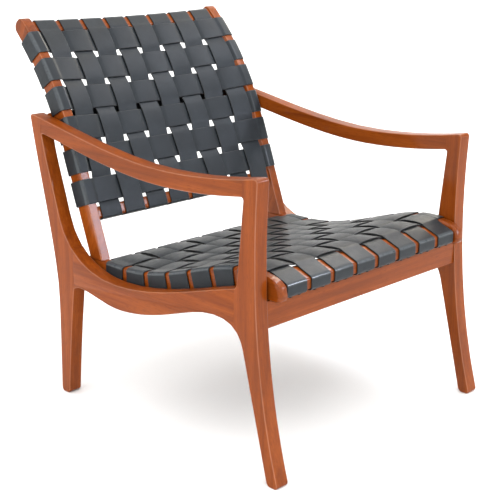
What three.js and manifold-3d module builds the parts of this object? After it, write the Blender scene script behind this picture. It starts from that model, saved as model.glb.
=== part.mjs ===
// Lounge chair: a shaped hardwood frame with a seat and a back woven from flat leather straps.
// Millimetres, +Z up, the chair faces -Y, and the sitter's right is towards -X.
// Profiles are drawn as (y, z) pairs with y = 0 midway between the feet and z = 0 on the floor.
import * as THREE from 'three';
import { mergeVertices } from 'three/addons/utils/BufferGeometryUtils.js';
import Module from 'manifold-3d';

const wasm = await Module();
wasm.setup();

// Frame stock and joints
const FRAME_WIDTH = 650;
const FRAME_THICKNESS = 32;
const FRAME_EDGE_ROUND = 5;
const FIT_GAP = 0.3;
const TENON_THICKNESS = 14;
const RAIL_TENON_WIDTH = 40;
const RAIL_TENON_LENGTH = 24;
const ARM_TENON_WIDTH = 18;
const ARM_TENON_LENGTH = 20;
const ARM_REAR_TENON_THICKNESS = 8;
const ARM_REAR_TENON_OFFSET = 6;
const RAIL_FRONT_TENON_LIFT = 5;
const RAIL_REAR_TENON_LIFT = 13;
const CROSS_TENON_LENGTH = 18;
const CROSS_TENON_THICKNESS = 12;
const CROSS_TENON_SHOULDER = 5;
const SUPPORT_TENON_LENGTH = 15;
const BAR_TENON_LENGTH = 14;

// Side frame: legs
const FRONT_FOOT_Y = -316;
const FRONT_FOOT_LENGTH = 28.5;
const FRONT_LEG_TOP_WIDTH = 34.5;
const FRONT_LEG_SEAT_WIDTH = 46;
const FRONT_LEG_CROTCH_WIDTH = 40;
const FRONT_LEG_FOOT_SWEEP = 58.5;
const FRONT_LEG_TOP_SWEEP = 14.5;
const REAR_FOOT_Y = 348;
const REAR_FOOT_LENGTH = 28;
const REAR_LEG_WAIST_Y = 343;
const REAR_LEG_WAIST_HEIGHT = 218;
const REAR_LEG_CROTCH_WIDTH = 53;
const REAR_LEG_HIP_WIDTH = 41.5;
const REAR_LEG_HIP_RISE = 169;
const REAR_LEG_TOP_WIDTH = 31;
const REAR_LEG_TOP_COVER = 24;
const REAR_LEG_WAIST_LEAN = 2;
const REAR_LEG_WAIST_HANDLE = 93;
const REAR_LEG_TOP_LEAN = 24;
const REAR_LEG_TOP_HANDLE = 132;
const REAR_LEG_FRONT_BOW = 11;

// Side frame: armrest, and the rail that hangs between the legs
const ARM_FRONT_Y = -263;
const ARM_FRONT_HEIGHT = 579.5;
const ARM_LOW_Y = -13;
const ARM_LOW_HEIGHT = 557;
const ARM_REAR_HEIGHT = 618;
const ARM_DEPTH = 32;
const ARM_CORNER_ROUND = 11;
const ARM_REAR_HANDLE = 142;
const ARM_REAR_SLOPE_DROP = 25;
const ARM_FRONT_HANDLE = 83;
const ARM_FRONT_SLOPE_DROP = 15;
const RAIL_LOW_Y = 145;
const RAIL_BELOW_SEAT = 77;
const RAIL_LOW_DEPTH = 52.5;
const RAIL_FRONT_RISE = 61;
const RAIL_FRONT_DEPTH = 62.5;
const RAIL_REAR_RISE = 17;
const FRONT_CROTCH_DROP = 57;
const FRONT_CROTCH_REACH = 79;
const FRONT_CROTCH_LEAN = 9;
const FRONT_CROTCH_RISE = 39;
const FRONT_CROTCH_HANDLE = 50;
const RAIL_FRONT_HANDLE = 70;
const RAIL_LOW_HANDLE = 130;
const RAIL_REAR_HANDLE = 36;
const REAR_CROTCH_ROUND = 23;
const REAR_CROTCH_DROP = 14;
const REAR_SEAM_SETBACK = 2;

// Opening between the legs, the armrest and the rail
const OPENING_CORNER_ROUND = 8;
const OPENING_FRONT_RISE = 22;
const OPENING_FRONT_REACH = 16;
const OPENING_FRONT_BOW = 6;
const OPENING_FRONT_HANDLE = 63;
const OPENING_RAIL_HANDLE = 115;
const OPENING_RAIL_DROP = 30;
const OPENING_LOW_HANDLE = 91;
const OPENING_HIP_LEAN = 21;
const OPENING_HIP_HANDLE = 80;
const OPENING_REAR_LEAN = 14;
const OPENING_REAR_HANDLE = 50;
const OPENING_REAR_DROP = 12;
const RAIL_SEAM_SETBACK = 7;
const ARM_SEAM_SETBACK = 1;
const ARM_REAR_SEAM_INSET = 3;
const SEAM_CLEARANCE = 40;

// Cross rails between the side frames
const FRONT_RAIL_THICKNESS = 23;
const FRONT_RAIL_HEIGHT = 54;
const FRONT_RAIL_SETBACK = 2;
const FRONT_RAIL_NOTCH = 2;
const REAR_RAIL_THICKNESS = 24;
const REAR_RAIL_HEIGHT = 30;
const REAR_RAIL_NOTCH = 18;
const REAR_RAIL_SETBACK = 7;
const SUPPORT_RAIL_THICKNESS = 22;
const SUPPORT_RAIL_HEIGHT = 32;
const SUPPORT_RAIL_DROP = 0;
const CROSS_RAIL_EDGE_ROUND = 3;

// Seat frame
const SEAT_RAIL_THICKNESS = 24;
const SEAT_RAIL_DEPTH = 46;
const SEAT_RAIL_EDGE_ROUND = 4;
const SEAT_NOSE_OVERHANG = 27.5;
const SEAT_NOSE_ROUND = 12.5;
const SEAT_NOSE_FLAT = 2;
const SEAT_NOSE_RISE = 27;
const SEAT_NOSE_HANDLE = 55;
const SEAT_CREST_HANDLE = 95;
const SEAT_HOLLOW_HANDLE = 145;
const SEAT_CREST_SETBACK = 86;
const SEAT_CREST_HEIGHT = 393.5;
const SEAT_HOLLOW_HEIGHT = 318;
const SEAT_FLAT_LENGTH = 125;
const SEAT_REAR_OVERHANG = 4;
const FRONT_BAR_SETBACK = 10.5;
const FRONT_BAR_DEPTH = 33.5;
const FRONT_BAR_CREASE_DROP = 20.4;
const FRONT_BAR_CREASE_ROUND = 4;
const FRONT_BAR_TOP_DROP = 7;
const FRONT_BAR_LEDGE = 18;
const FRONT_BAR_LEDGE_DROP = 1.5;
const FRONT_BAR_TENON_SETBACK = 12;
const REAR_BAR_DEPTH = 19.5;
const REAR_BAR_HEIGHT = 31.5;
const REAR_BAR_TOP_DROP = 4.5;
const REAR_BAR_OVERLAP = 5;
const BAR_EDGE_ROUND = 5;
const BAR_TENON_SHOULDER = 4;

// Back frame, measured along the front edge of its stiles
const BACK_FOOT_INSET = 50.5;
const BACK_TILT = 19.85;
const BACK_STRAIGHT = 245;
const BACK_RADIUS = 690;
const STILE_LENGTH = 570;
const STILE_DEPTH = 37;
const STILE_EDGE_ROUND = 5;
const STILE_END_ROUND = 18;
const STILE_TENON_LENGTH = 20;
const STILE_TENON_WIDTH = 20;
const STILE_TENON_ROOT = 8;
const BACK_WEAVE_START = 123;
const BACK_WEAVE_TOP_MARGIN = 48;
const BACK_RAIL_SETBACK = 4;
const BACK_RAIL_THICKNESS = 20;
const BOTTOM_RAIL_HEIGHT = 27;
const BOTTOM_RAIL_MARGIN = 7;
const TOP_RAIL_HEIGHT = 30;
const TOP_RAIL_MARGIN = 4;
const TOP_RAIL_BOW = 7;
const BOW_STEPS = 8;
const CURVE_SAMPLES = 200;

// Straps
const STRAP_WIDTH = 54;
const STRAP_THICKNESS = 3;
const SEAT_LONG_STRAPS = 8;
const SEAT_CROSS_STRAPS = 7;
const BACK_UPRIGHT_STRAPS = 8;
const BACK_CROSS_STRAPS = 6;
const STRAP_LAY = 0.4;
const STRAP_RETURN = 18;
const SEAT_STRAP_SIDE_MARGIN = 4;
const BACK_STRAP_SIDE_MARGIN = 8;
const STRAP_FRAME_MARGIN = 1.6;
const STRAP_CORNER_CUT = 2;
const SEAT_WEAVE_FRONT_MARGIN = 2.5;
const SEAT_NOSE_MARGIN = 10;
const SEAT_WEAVE_REAR_MARGIN = 7;
const SEAT_SAG = 6;
const BACK_BELLY = 19.5;

// Bolts that hold the seat frame down on the cross rails
const BOLT_DIAMETER = 6;
const BOLT_HEAD_DIAMETER = 12;
const BOLT_HEAD_HEIGHT = 5;
const BOLT_GRIP = 20;
const BOLT_SIDES = 8;

// Places across the chair that follow from the driving sizes
const frameInner = FRAME_WIDTH / 2 - FRAME_THICKNESS;
const frameCentre = FRAME_WIDTH / 2 - FRAME_THICKNESS / 2;
const strapOffset = STRAP_LAY + STRAP_THICKNESS / 2;
const weaveLift = (STRAP_THICKNESS + FIT_GAP) / 2;
const railOuter = frameInner - STRAP_FRAME_MARGIN - STRAP_LAY - STRAP_THICKNESS;
const railInner = railOuter - SEAT_RAIL_THICKNESS;
const railCentre = (railOuter + railInner) / 2;
const barEnd = railInner - FIT_GAP;
const crossRailEnd = frameInner - FIT_GAP;

// Vectors of a (y, z) profile, and the least turn that counts as a corner of it
const at = (y, z) => new THREE.Vector2(y, z);
const STRAIGHT_TURN = 1e-3;

// Points along a curve that leaves its ends towards the two handles
function bend(start, startHandle, endHandle, end, steps) {
  return new THREE.CubicBezierCurve(start, startHandle, endHandle, end).getPoints(steps);
}

// Points round a corner, leaving the sides at the two ends
function fillet(start, corner, end, steps = 3) {
  return new THREE.QuadraticBezierCurve(start, corner, end).getPoints(steps);
}

// Runs of points joined into one outline, without repeats and without points along straight stretches
function outline(...runs) {
  const points = runs.flat();
  const apart = points.filter((p, i) => p.distanceTo(points[(i + 1) % points.length]) > FIT_GAP);
  return apart.filter((p, i) => {
    const before = p.clone().sub(apart[(i + apart.length - 1) % apart.length]).normalize();
    const after = apart[(i + 1) % apart.length].clone().sub(p).normalize();
    return Math.abs(before.cross(after)) > STRAIGHT_TURN;
  });
}

// A rectangle with rounded corners, as an outline
function roundedBox(low, high, round) {
  const [y0, z0] = low;
  const [y1, z1] = high;
  return outline(
    fillet(at(y0, z0 + round), at(y0, z0), at(y0 + round, z0), 2),
    fillet(at(y1 - round, z0), at(y1, z0), at(y1, z0 + round), 2),
    fillet(at(y1, z1 - round), at(y1, z1), at(y1 - round, z1), 2),
    fillet(at(y0 + round, z1), at(y0, z1), at(y0, z1 - round), 2),
  );
}

// The other coordinate of a line of points where it crosses a place on one axis
function crossing(points, axis, place) {
  const other = axis === 'x' ? 'y' : 'x';
  for (let i = 1; i < points.length; i += 1) {
    const a = points[i - 1];
    const b = points[i];
    if ((a[axis] - place) * (b[axis] - place) <= 0 && a[axis] !== b[axis]) {
      return a[other] + (b[other] - a[other]) * (place - a[axis]) / (b[axis] - a[axis]);
    }
  }
  throw new Error(`the line does not reach ${axis} = ${place}`);
}

// A closed three.js geometry as a solid for cutting and joining
function solidOf(geometry) {
  geometry.deleteAttribute('normal');
  geometry.deleteAttribute('uv');
  const merged = mergeVertices(geometry, 1e-4);
  const corners = merged.index.array;
  const kept = [];
  for (let i = 0; i < corners.length; i += 3) {
    const [a, b, c] = corners.slice(i, i + 3);
    if (a !== b && b !== c && c !== a) {
      kept.push(a, b, c);
    }
  }
  return new wasm.Manifold(new wasm.Mesh({
    numProp: 3,
    vertProperties: new Float32Array(merged.attributes.position.array),
    triVerts: new Uint32Array(kept),
  }));
}

function geometryOf(solid) {
  const mesh = solid.getMesh();
  const geometry = new THREE.BufferGeometry();
  geometry.setAttribute('position', new THREE.BufferAttribute(mesh.vertProperties, 3));
  geometry.setIndex(new THREE.BufferAttribute(mesh.triVerts, 1));
  geometry.computeVertexNormals();
  return geometry;
}

// A (y, z) outline extruded along x about x = middle, its long edges rounded over
function plank(points, thickness, { round = 0, roundSteps = 2, middle = 0, holes = [], steps = 1 } = {}) {
  const shape = new THREE.Shape(points);
  shape.holes = holes.map((hole) => new THREE.Path(hole));
  const geometry = new THREE.ExtrudeGeometry(shape, {
    depth: thickness - 2 * round,
    bevelEnabled: round > 0,
    bevelSize: round,
    bevelThickness: round,
    bevelOffset: -round,
    bevelSegments: roundSteps,
    steps,
  });
  geometry.translate(0, 0, middle + round - thickness / 2);
  geometry.rotateY(Math.PI / 2);
  geometry.rotateX(Math.PI / 2);
  return geometry;
}

// A tenon is a block given for the +X side as ranges of x, y and z.
// It is moved to one side of the chair and into the frame of a piece that stands at x = origin.
function tenonBlock(tenon, side, origin, clearance = 0) {
  const size = ['x', 'y', 'z'].map((axis) => tenon[axis][1] - tenon[axis][0] + 2 * clearance);
  const middle = ['x', 'y', 'z'].map((axis) => (tenon[axis][0] + tenon[axis][1]) / 2);
  middle[0] = middle[0] * side - origin;
  return solidOf(new THREE.BoxGeometry(...size).translate(...middle));
}

const around = (middle, width) => [middle - width / 2, middle + width / 2];

// One material for each piece
function wood() {
  return new THREE.MeshStandardMaterial({ color: 0xa5532f, roughness: 0.4, metalness: 0 });
}

function leather() {
  return new THREE.MeshStandardMaterial({ color: 0x3b4146, roughness: 0.5, metalness: 0 });
}

function steel() {
  return new THREE.MeshStandardMaterial({ color: 0x8a8d8f, roughness: 0.35, metalness: 1 });
}

const chair = new THREE.Group();

function addPiece(name, geometry, material, x = 0, y = 0, z = 0) {
  const mesh = new THREE.Mesh(geometry, material);
  mesh.name = name;
  mesh.position.set(x, y, z);
  chair.add(mesh);
}

const SIDES = [['right', -1], ['left', 1]];

// Heights that the seat sets for the pieces under it
const seatUnderside = SEAT_CREST_HEIGHT - SEAT_RAIL_DEPTH;
const frontRailTop = seatUnderside - FIT_GAP;
const rearRailTop = SEAT_HOLLOW_HEIGHT - SEAT_RAIL_DEPTH + REAR_RAIL_NOTCH - FIT_GAP;
const railLow = SEAT_HOLLOW_HEIGHT - RAIL_BELOW_SEAT;
const railLowTop = railLow + RAIL_LOW_DEPTH;
const railFrontUnder = railLow + RAIL_FRONT_RISE;
const railFrontTop = railFrontUnder + RAIL_FRONT_DEPTH;
const railRearUnder = railLow + RAIL_REAR_RISE;

// Front leg, whose front edge is one sweep from the foot to the end of the arm
const legFrontEdge = bend(
  at(ARM_FRONT_Y, ARM_FRONT_HEIGHT),
  at(ARM_FRONT_Y + FRONT_LEG_TOP_SWEEP, ARM_FRONT_HEIGHT * 2 / 3),
  at(FRONT_FOOT_Y + FRONT_LEG_FOOT_SWEEP, ARM_FRONT_HEIGHT / 3),
  at(FRONT_FOOT_Y, 0),
  9,
);
const legFrontAt = (z) => crossing(legFrontEdge, 'y', z);

// Places along the chair, from the front rail back to the foot of the back
const frontRailFront = legFrontAt(frontRailTop) + FRONT_RAIL_SETBACK;
const frontRailRear = frontRailFront + FRONT_RAIL_THICKNESS;
const seatNose = frontRailFront - SEAT_NOSE_OVERHANG;
const rearCrotch = at(REAR_LEG_WAIST_Y - REAR_LEG_CROTCH_WIDTH, railRearUnder - REAR_CROTCH_DROP);
const railSeamRear = rearCrotch.x - REAR_SEAM_SETBACK;
const rearRailRear = railSeamRear - REAR_RAIL_SETBACK;
const rearRailFront = rearRailRear - REAR_RAIL_THICKNESS;
const seatRear = rearRailRear + SEAT_REAR_OVERHANG;
const backFoot = at(seatRear - BACK_FOOT_INSET, SEAT_HOLLOW_HEIGHT);

// The back's curve: straight up from its foot, then an arc that leans further back.
// travel runs up the front edge of the stiles, and depth goes rearward from that edge.
const backTilt = THREE.MathUtils.degToRad(BACK_TILT);

function backPoint(travel, depth) {
  const run = Math.min(travel, BACK_STRAIGHT);
  const angle = backTilt + (travel - run) / BACK_RADIUS;
  const arcBack = BACK_RADIUS * (Math.cos(backTilt) - Math.cos(angle));
  const arcUp = BACK_RADIUS * (Math.sin(angle) - Math.sin(backTilt));
  return at(
    backFoot.x + run * Math.sin(backTilt) + arcBack + depth * Math.cos(angle),
    backFoot.y + run * Math.cos(backTilt) + arcUp - depth * Math.sin(angle),
  );
}

// The support rail lies behind the strapped stiles, just below the rear end of the arms
const supportFront = STILE_DEPTH + STRAP_LAY + STRAP_THICKNESS + FIT_GAP;
const supportRear = supportFront + SUPPORT_RAIL_THICKNESS;
const supportLine = Array.from({ length: CURVE_SAMPLES + 1 }, (_, i) => {
  const travel = i * STILE_LENGTH / CURVE_SAMPLES;
  return at(travel, backPoint(travel, supportFront).y);
});
const supportTop = crossing(supportLine, 'y', ARM_REAR_HEIGHT - SUPPORT_RAIL_DROP);
const supportLow = supportTop - SUPPORT_RAIL_HEIGHT;
const supportCentre = backPoint((supportLow + supportTop) / 2, (supportFront + supportRear) / 2);
const armRearY = supportCentre.x + REAR_LEG_TOP_COVER;

// Rear leg and armrest edges
const legRearEdge = [
  bend(
    at(REAR_FOOT_Y, 0),
    at((REAR_FOOT_Y + REAR_LEG_WAIST_Y) / 2, REAR_LEG_WAIST_HEIGHT / 3),
    at(REAR_LEG_WAIST_Y, REAR_LEG_WAIST_HEIGHT * 2 / 3),
    at(REAR_LEG_WAIST_Y, REAR_LEG_WAIST_HEIGHT),
    4,
  ),
  bend(
    at(REAR_LEG_WAIST_Y, REAR_LEG_WAIST_HEIGHT),
    at(REAR_LEG_WAIST_Y - REAR_LEG_WAIST_LEAN, REAR_LEG_WAIST_HEIGHT + REAR_LEG_WAIST_HANDLE),
    at(armRearY - REAR_LEG_TOP_LEAN, ARM_REAR_HEIGHT - REAR_LEG_TOP_HANDLE),
    at(armRearY, ARM_REAR_HEIGHT),
    7,
  ),
].flat();
const legRearAt = (z) => crossing(legRearEdge, 'y', z);
const armTop = [
  bend(
    at(armRearY, ARM_REAR_HEIGHT),
    at(armRearY - ARM_REAR_HANDLE, ARM_REAR_HEIGHT - ARM_REAR_SLOPE_DROP),
    at(ARM_LOW_Y + ARM_REAR_HANDLE, ARM_LOW_HEIGHT),
    at(ARM_LOW_Y, ARM_LOW_HEIGHT),
    7,
  ),
  bend(
    at(ARM_LOW_Y, ARM_LOW_HEIGHT),
    at(ARM_LOW_Y - ARM_FRONT_HANDLE, ARM_LOW_HEIGHT),
    at(ARM_FRONT_Y + ARM_FRONT_HANDLE, ARM_FRONT_HEIGHT - ARM_FRONT_SLOPE_DROP),
    at(ARM_FRONT_Y, ARM_FRONT_HEIGHT),
    5,
  ),
].flat();
const armUnder = armTop.map((p) => at(p.x, p.y - ARM_DEPTH));
const armUnderAt = (y) => crossing(armUnder, 'x', y);
const within = (points, from, to) => points.filter((p) => p.x > from && p.x < to);

// Corners of the opening under the arm
const openingFrontTop = at(legFrontAt(ARM_FRONT_HEIGHT - ARM_DEPTH) + FRONT_LEG_TOP_WIDTH, 0);
openingFrontTop.y = armUnderAt(openingFrontTop.x);
const openingFrontLow = at(0, railFrontTop + OPENING_FRONT_RISE);
openingFrontLow.x = legFrontAt(openingFrontLow.y) + FRONT_LEG_SEAT_WIDTH;
const openingRail = at(openingFrontLow.x + OPENING_FRONT_REACH, railFrontTop);
const openingHip = at(0, railLow + REAR_LEG_HIP_RISE);
openingHip.x = legRearAt(openingHip.y) - REAR_LEG_HIP_WIDTH;
const openingRear = at(0, ARM_REAR_HEIGHT - ARM_DEPTH - OPENING_REAR_DROP);
openingRear.x = legRearAt(openingRear.y) - REAR_LEG_TOP_WIDTH;
const openingRearTop = at(openingRear.x + FIT_GAP, armUnderAt(openingRear.x + FIT_GAP));

// Seams where the arm and the rail butt against the legs
const railSeamFront = openingFrontLow.x + RAIL_SEAM_SETBACK;
const armSeamFront = openingFrontTop.x + ARM_SEAM_SETBACK;
const armSeamRear = openingRear.x + ARM_REAR_SEAM_INSET;

function frameOutline() {
  const crotch = at(0, railFrontUnder - FRONT_CROTCH_DROP);
  crotch.x = legFrontAt(crotch.y) + FRONT_LEG_CROTCH_WIDTH;
  const railStart = at(crotch.x + FRONT_CROTCH_REACH, railFrontUnder);
  const railBottom = at(RAIL_LOW_Y, railLow);
  const railEnd = at(rearCrotch.x - REAR_CROTCH_ROUND, railRearUnder);
  const rearFootFront = at(REAR_FOOT_Y - REAR_FOOT_LENGTH, 0);
  const round = ARM_CORNER_ROUND;
  return outline(
    [at(FRONT_FOOT_Y + FRONT_FOOT_LENGTH, 0)],
    bend(
      crotch,
      at(crotch.x + FRONT_CROTCH_LEAN, crotch.y + FRONT_CROTCH_RISE),
      at(railStart.x - FRONT_CROTCH_HANDLE, railStart.y),
      railStart,
      5,
    ),
    bend(
      railStart,
      at(railStart.x + RAIL_FRONT_HANDLE, railStart.y),
      at(RAIL_LOW_Y - RAIL_LOW_HANDLE, railLow),
      railBottom,
      7,
    ),
    bend(
      railBottom,
      at(RAIL_LOW_Y + RAIL_REAR_HANDLE, railLow),
      at(railEnd.x - RAIL_REAR_HANDLE, railEnd.y),
      railEnd,
      4,
    ),
    fillet(railEnd, at(rearCrotch.x, railEnd.y), rearCrotch),
    fillet(rearCrotch, at(rearFootFront.x - REAR_LEG_FRONT_BOW, rearCrotch.y / 2), rearFootFront),
    legRearEdge.slice(0, -1),
    fillet(
      at(legRearAt(ARM_REAR_HEIGHT - round), ARM_REAR_HEIGHT - round),
      at(armRearY, ARM_REAR_HEIGHT),
      at(armRearY - round, crossing(armTop, 'x', armRearY - round)),
    ),
    armTop.slice(1, -1),
    fillet(
      at(ARM_FRONT_Y + round, crossing(armTop, 'x', ARM_FRONT_Y + round)),
      at(ARM_FRONT_Y, ARM_FRONT_HEIGHT),
      at(legFrontAt(ARM_FRONT_HEIGHT - round), ARM_FRONT_HEIGHT - round),
    ),
    legFrontEdge.slice(1),
  );
}

function openingOutline() {
  const railDip = at(RAIL_LOW_Y, railLowTop);
  const round = OPENING_CORNER_ROUND;
  const [frontEnd, rearEnd] = [openingFrontTop.x + round, openingRearTop.x - round];
  const frontStart = at(openingFrontTop.x, openingFrontTop.y - round);
  return outline(
    bend(
      openingRail,
      at(openingRail.x + OPENING_RAIL_HANDLE, railFrontTop - OPENING_RAIL_DROP),
      at(RAIL_LOW_Y - OPENING_RAIL_HANDLE, railLowTop),
      railDip,
      7,
    ),
    bend(
      railDip,
      at(RAIL_LOW_Y + OPENING_LOW_HANDLE, railLowTop),
      at(openingHip.x - OPENING_HIP_LEAN, openingHip.y - OPENING_HIP_HANDLE),
      openingHip,
      6,
    ),
    bend(
      openingHip,
      at(openingHip.x + OPENING_REAR_LEAN, openingHip.y + OPENING_REAR_HANDLE),
      at(openingRear.x - OPENING_CORNER_ROUND, openingRear.y - OPENING_REAR_HANDLE),
      openingRear,
      5,
    ),
    fillet(openingRear, openingRearTop, at(rearEnd, armUnderAt(rearEnd))),
    within(armUnder, frontEnd + round, rearEnd - round),
    fillet(at(frontEnd, armUnderAt(frontEnd)), openingFrontTop, frontStart),
    new THREE.QuadraticBezierCurve(
      frontStart,
      at(openingFrontLow.x - OPENING_FRONT_BOW, openingFrontLow.y + OPENING_FRONT_HANDLE),
      openingFrontLow,
    ).getPoints(5),
    fillet(openingFrontLow, at(openingFrontLow.x, railFrontTop), openingRail),
  );
}

// The plank profile is cut at its seams, so that the rounded edges run on from piece to piece.
// Between the rail and the arm each cut runs through the open space under the arm.
const FAR = 2 * FRAME_WIDTH;
const openMiddle = (railFrontTop + ARM_LOW_HEIGHT - ARM_DEPTH) / 2;
const frontSeam = (gap) => [
  at(-FAR, -FAR),
  at(railSeamFront + gap, -FAR),
  at(railSeamFront + gap, openMiddle),
  at(railSeamFront + SEAM_CLEARANCE, openMiddle),
  at(railSeamFront + SEAM_CLEARANCE, openMiddle + FIT_GAP),
  at(armSeamFront + gap, openingFrontTop.y - OPENING_CORNER_ROUND),
  at(armSeamFront + gap, FAR),
  at(-FAR, FAR),
];
const rearSeam = (gap) => [
  at(FAR, -FAR),
  at(FAR, FAR),
  at(armSeamRear - gap, FAR),
  at(armSeamRear - gap, openingRear.y),
  at(railSeamRear - SEAM_CLEARANCE, openMiddle + FIT_GAP),
  at(railSeamRear - SEAM_CLEARANCE, openMiddle),
  at(railSeamRear - gap, openMiddle),
  at(railSeamRear - gap, -FAR),
];
const armZone = [
  at(-FAR, openMiddle),
  at(FAR, openMiddle),
  at(FAR, FAR),
  at(-FAR, FAR),
];
const regionOf = (points) => solidOf(plank(points, 2 * FRAME_THICKNESS));

// Tenons, as ranges for the +X side
const frameTenons = {
  railFront: {
    x: around(frameCentre, TENON_THICKNESS),
    y: [railSeamFront - RAIL_TENON_LENGTH, railSeamFront + RAIL_TENON_LENGTH],
    z: around(railFrontUnder + RAIL_FRONT_TENON_LIFT + RAIL_TENON_WIDTH / 2, RAIL_TENON_WIDTH),
  },
  railRear: {
    x: around(frameCentre, TENON_THICKNESS),
    y: [railSeamRear - RAIL_TENON_LENGTH, railSeamRear + RAIL_TENON_LENGTH],
    z: around(railRearUnder + RAIL_REAR_TENON_LIFT + RAIL_TENON_WIDTH / 2, RAIL_TENON_WIDTH),
  },
  armFront: {
    x: around(frameCentre, TENON_THICKNESS),
    y: [armSeamFront - ARM_TENON_LENGTH, armSeamFront + ARM_TENON_LENGTH],
    z: around(armUnderAt(armSeamFront) + ARM_DEPTH / 2, ARM_TENON_WIDTH),
  },
  armRear: {
    x: around(frameCentre + ARM_REAR_TENON_OFFSET, ARM_REAR_TENON_THICKNESS),
    y: [armSeamRear - ARM_TENON_LENGTH, armSeamRear + ARM_TENON_LENGTH],
    z: around(armUnderAt(armSeamRear) + ARM_DEPTH / 2, ARM_TENON_WIDTH),
  },
};
const frontRailTenon = {
  x: [crossRailEnd - CROSS_TENON_LENGTH, crossRailEnd + CROSS_TENON_LENGTH],
  y: around((frontRailFront + frontRailRear) / 2, CROSS_TENON_THICKNESS),
  z: [frontRailTop - FRONT_RAIL_HEIGHT + CROSS_TENON_SHOULDER, frontRailTop - CROSS_TENON_SHOULDER],
};
const rearRailTenon = {
  x: [crossRailEnd - CROSS_TENON_LENGTH, crossRailEnd + CROSS_TENON_LENGTH],
  y: around((rearRailFront + rearRailRear) / 2, CROSS_TENON_THICKNESS),
  z: [rearRailTop - REAR_RAIL_HEIGHT + CROSS_TENON_SHOULDER, rearRailTop - CROSS_TENON_SHOULDER],
};

// A tilted bar behind the stiles: a rectangle in travel and depth, drawn inset by a shoulder
function supportSection(inset) {
  const corners = roundedBox(
    [supportLow + inset, supportFront + inset],
    [supportTop - inset, supportRear - inset],
    CROSS_RAIL_EDGE_ROUND,
  );
  return corners.map((p) => backPoint(p.x, p.y));
}

function supportTenon(side, origin, clearance = 0) {
  const length = 2 * (SUPPORT_TENON_LENGTH + clearance);
  const section = supportSection(CROSS_TENON_SHOULDER - clearance);
  return solidOf(plank(section, length, { middle: side * crossRailEnd - origin }));
}

function addSideFrame(word, side) {
  const origin = side * frameCentre;
  const joint = (tenon, clearance) => tenonBlock(tenon, side, origin, clearance);
  const frame = solidOf(plank(frameOutline(), FRAME_THICKNESS, {
    round: FRAME_EDGE_ROUND,
    holes: [openingOutline()],
  }));
  const between = frame.subtract(regionOf(frontSeam(FIT_GAP))).subtract(regionOf(rearSeam(FIT_GAP)));
  const frontLeg = frame.intersect(regionOf(frontSeam(0)))
    .subtract(joint(frameTenons.railFront, FIT_GAP))
    .subtract(joint(frameTenons.armFront, FIT_GAP))
    .subtract(joint(frontRailTenon, FIT_GAP));
  const rearLeg = frame.intersect(regionOf(rearSeam(0)))
    .subtract(joint(frameTenons.railRear, FIT_GAP))
    .subtract(joint(frameTenons.armRear, FIT_GAP))
    .subtract(supportTenon(side, origin, FIT_GAP));
  const arm = between.intersect(regionOf(armZone))
    .add(joint(frameTenons.armFront))
    .add(joint(frameTenons.armRear));
  const rail = between.subtract(regionOf(armZone))
    .add(joint(frameTenons.railFront))
    .add(joint(frameTenons.railRear))
    .subtract(joint(rearRailTenon, FIT_GAP));
  addPiece(`${word}_front_leg`, geometryOf(frontLeg), wood(), origin);
  addPiece(`${word}_rear_leg`, geometryOf(rearLeg), wood(), origin);
  addPiece(`${word}_armrest`, geometryOf(arm), wood(), origin);
  addPiece(`${word}_side_rail`, geometryOf(rail), wood(), origin);
}

// Seat line: the top of the seat rails from the nose over the crest to the flat that carries the back
const seatCrest = at(seatNose + SEAT_CREST_SETBACK, SEAT_CREST_HEIGHT);
const seatHollow = at(seatRear - SEAT_FLAT_LENGTH, SEAT_HOLLOW_HEIGHT);
const seatNoseLow = seatUnderside - FRONT_RAIL_NOTCH;
const seatNoseTip = at(seatNose, seatNoseLow + SEAT_NOSE_ROUND + SEAT_NOSE_FLAT);
const seatLine = new THREE.CurvePath();
seatLine.add(new THREE.CubicBezierCurve(
  seatNoseTip,
  at(seatNose, seatNoseTip.y + SEAT_NOSE_RISE),
  at(seatCrest.x - SEAT_NOSE_HANDLE, seatCrest.y),
  seatCrest,
));
seatLine.add(new THREE.CubicBezierCurve(
  seatCrest,
  at(seatCrest.x + SEAT_CREST_HANDLE, seatCrest.y),
  at(seatHollow.x - SEAT_HOLLOW_HANDLE, seatHollow.y),
  seatHollow,
));
seatLine.add(new THREE.LineCurve(seatHollow, at(seatRear, seatHollow.y)));
const seatLength = seatLine.getLength();
const seatSamples = Array.from({ length: CURVE_SAMPLES + 1 }, (_, i) => {
  const share = i / CURVE_SAMPLES;
  return at(share * seatLength, seatLine.getPoint(share).x);
});
const seatTravelAt = (y) => crossing(seatSamples, 'y', y);

// A point above (or below) the seat line, square to it
function seatPoint(travel, height) {
  const t = travel / seatLength;
  const ahead = seatLine.getPoint(Math.min(1, t + 0.5 / CURVE_SAMPLES));
  const behind = seatLine.getPoint(Math.max(0, t - 0.5 / CURVE_SAMPLES));
  const along = ahead.sub(behind).normalize();
  const point = seatLine.getPoint(t);
  return at(point.x - along.y * height, point.y + along.x * height);
}

// Bars across the seat frame
const frontBarFront = seatNose + FRONT_BAR_SETBACK;
const frontBarRear = frontBarFront + FRONT_BAR_DEPTH;
const frontBarLow = frontRailTop + FIT_GAP + STRAP_THICKNESS + STRAP_LAY;
const frontBarCrease = at(frontBarFront, SEAT_CREST_HEIGHT - FRONT_BAR_CREASE_DROP);
const frontBarTop = at(frontBarRear, SEAT_CREST_HEIGHT - FRONT_BAR_TOP_DROP);
const frontBarSlope = frontBarTop.clone().sub(frontBarCrease).normalize();
const rearBarRear = backFoot.x + REAR_BAR_OVERLAP;
const rearBarFront = rearBarRear - REAR_BAR_DEPTH;
const rearBarTop = SEAT_HOLLOW_HEIGHT - REAR_BAR_TOP_DROP;
const rearBarLow = rearBarTop - REAR_BAR_HEIGHT;

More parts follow.
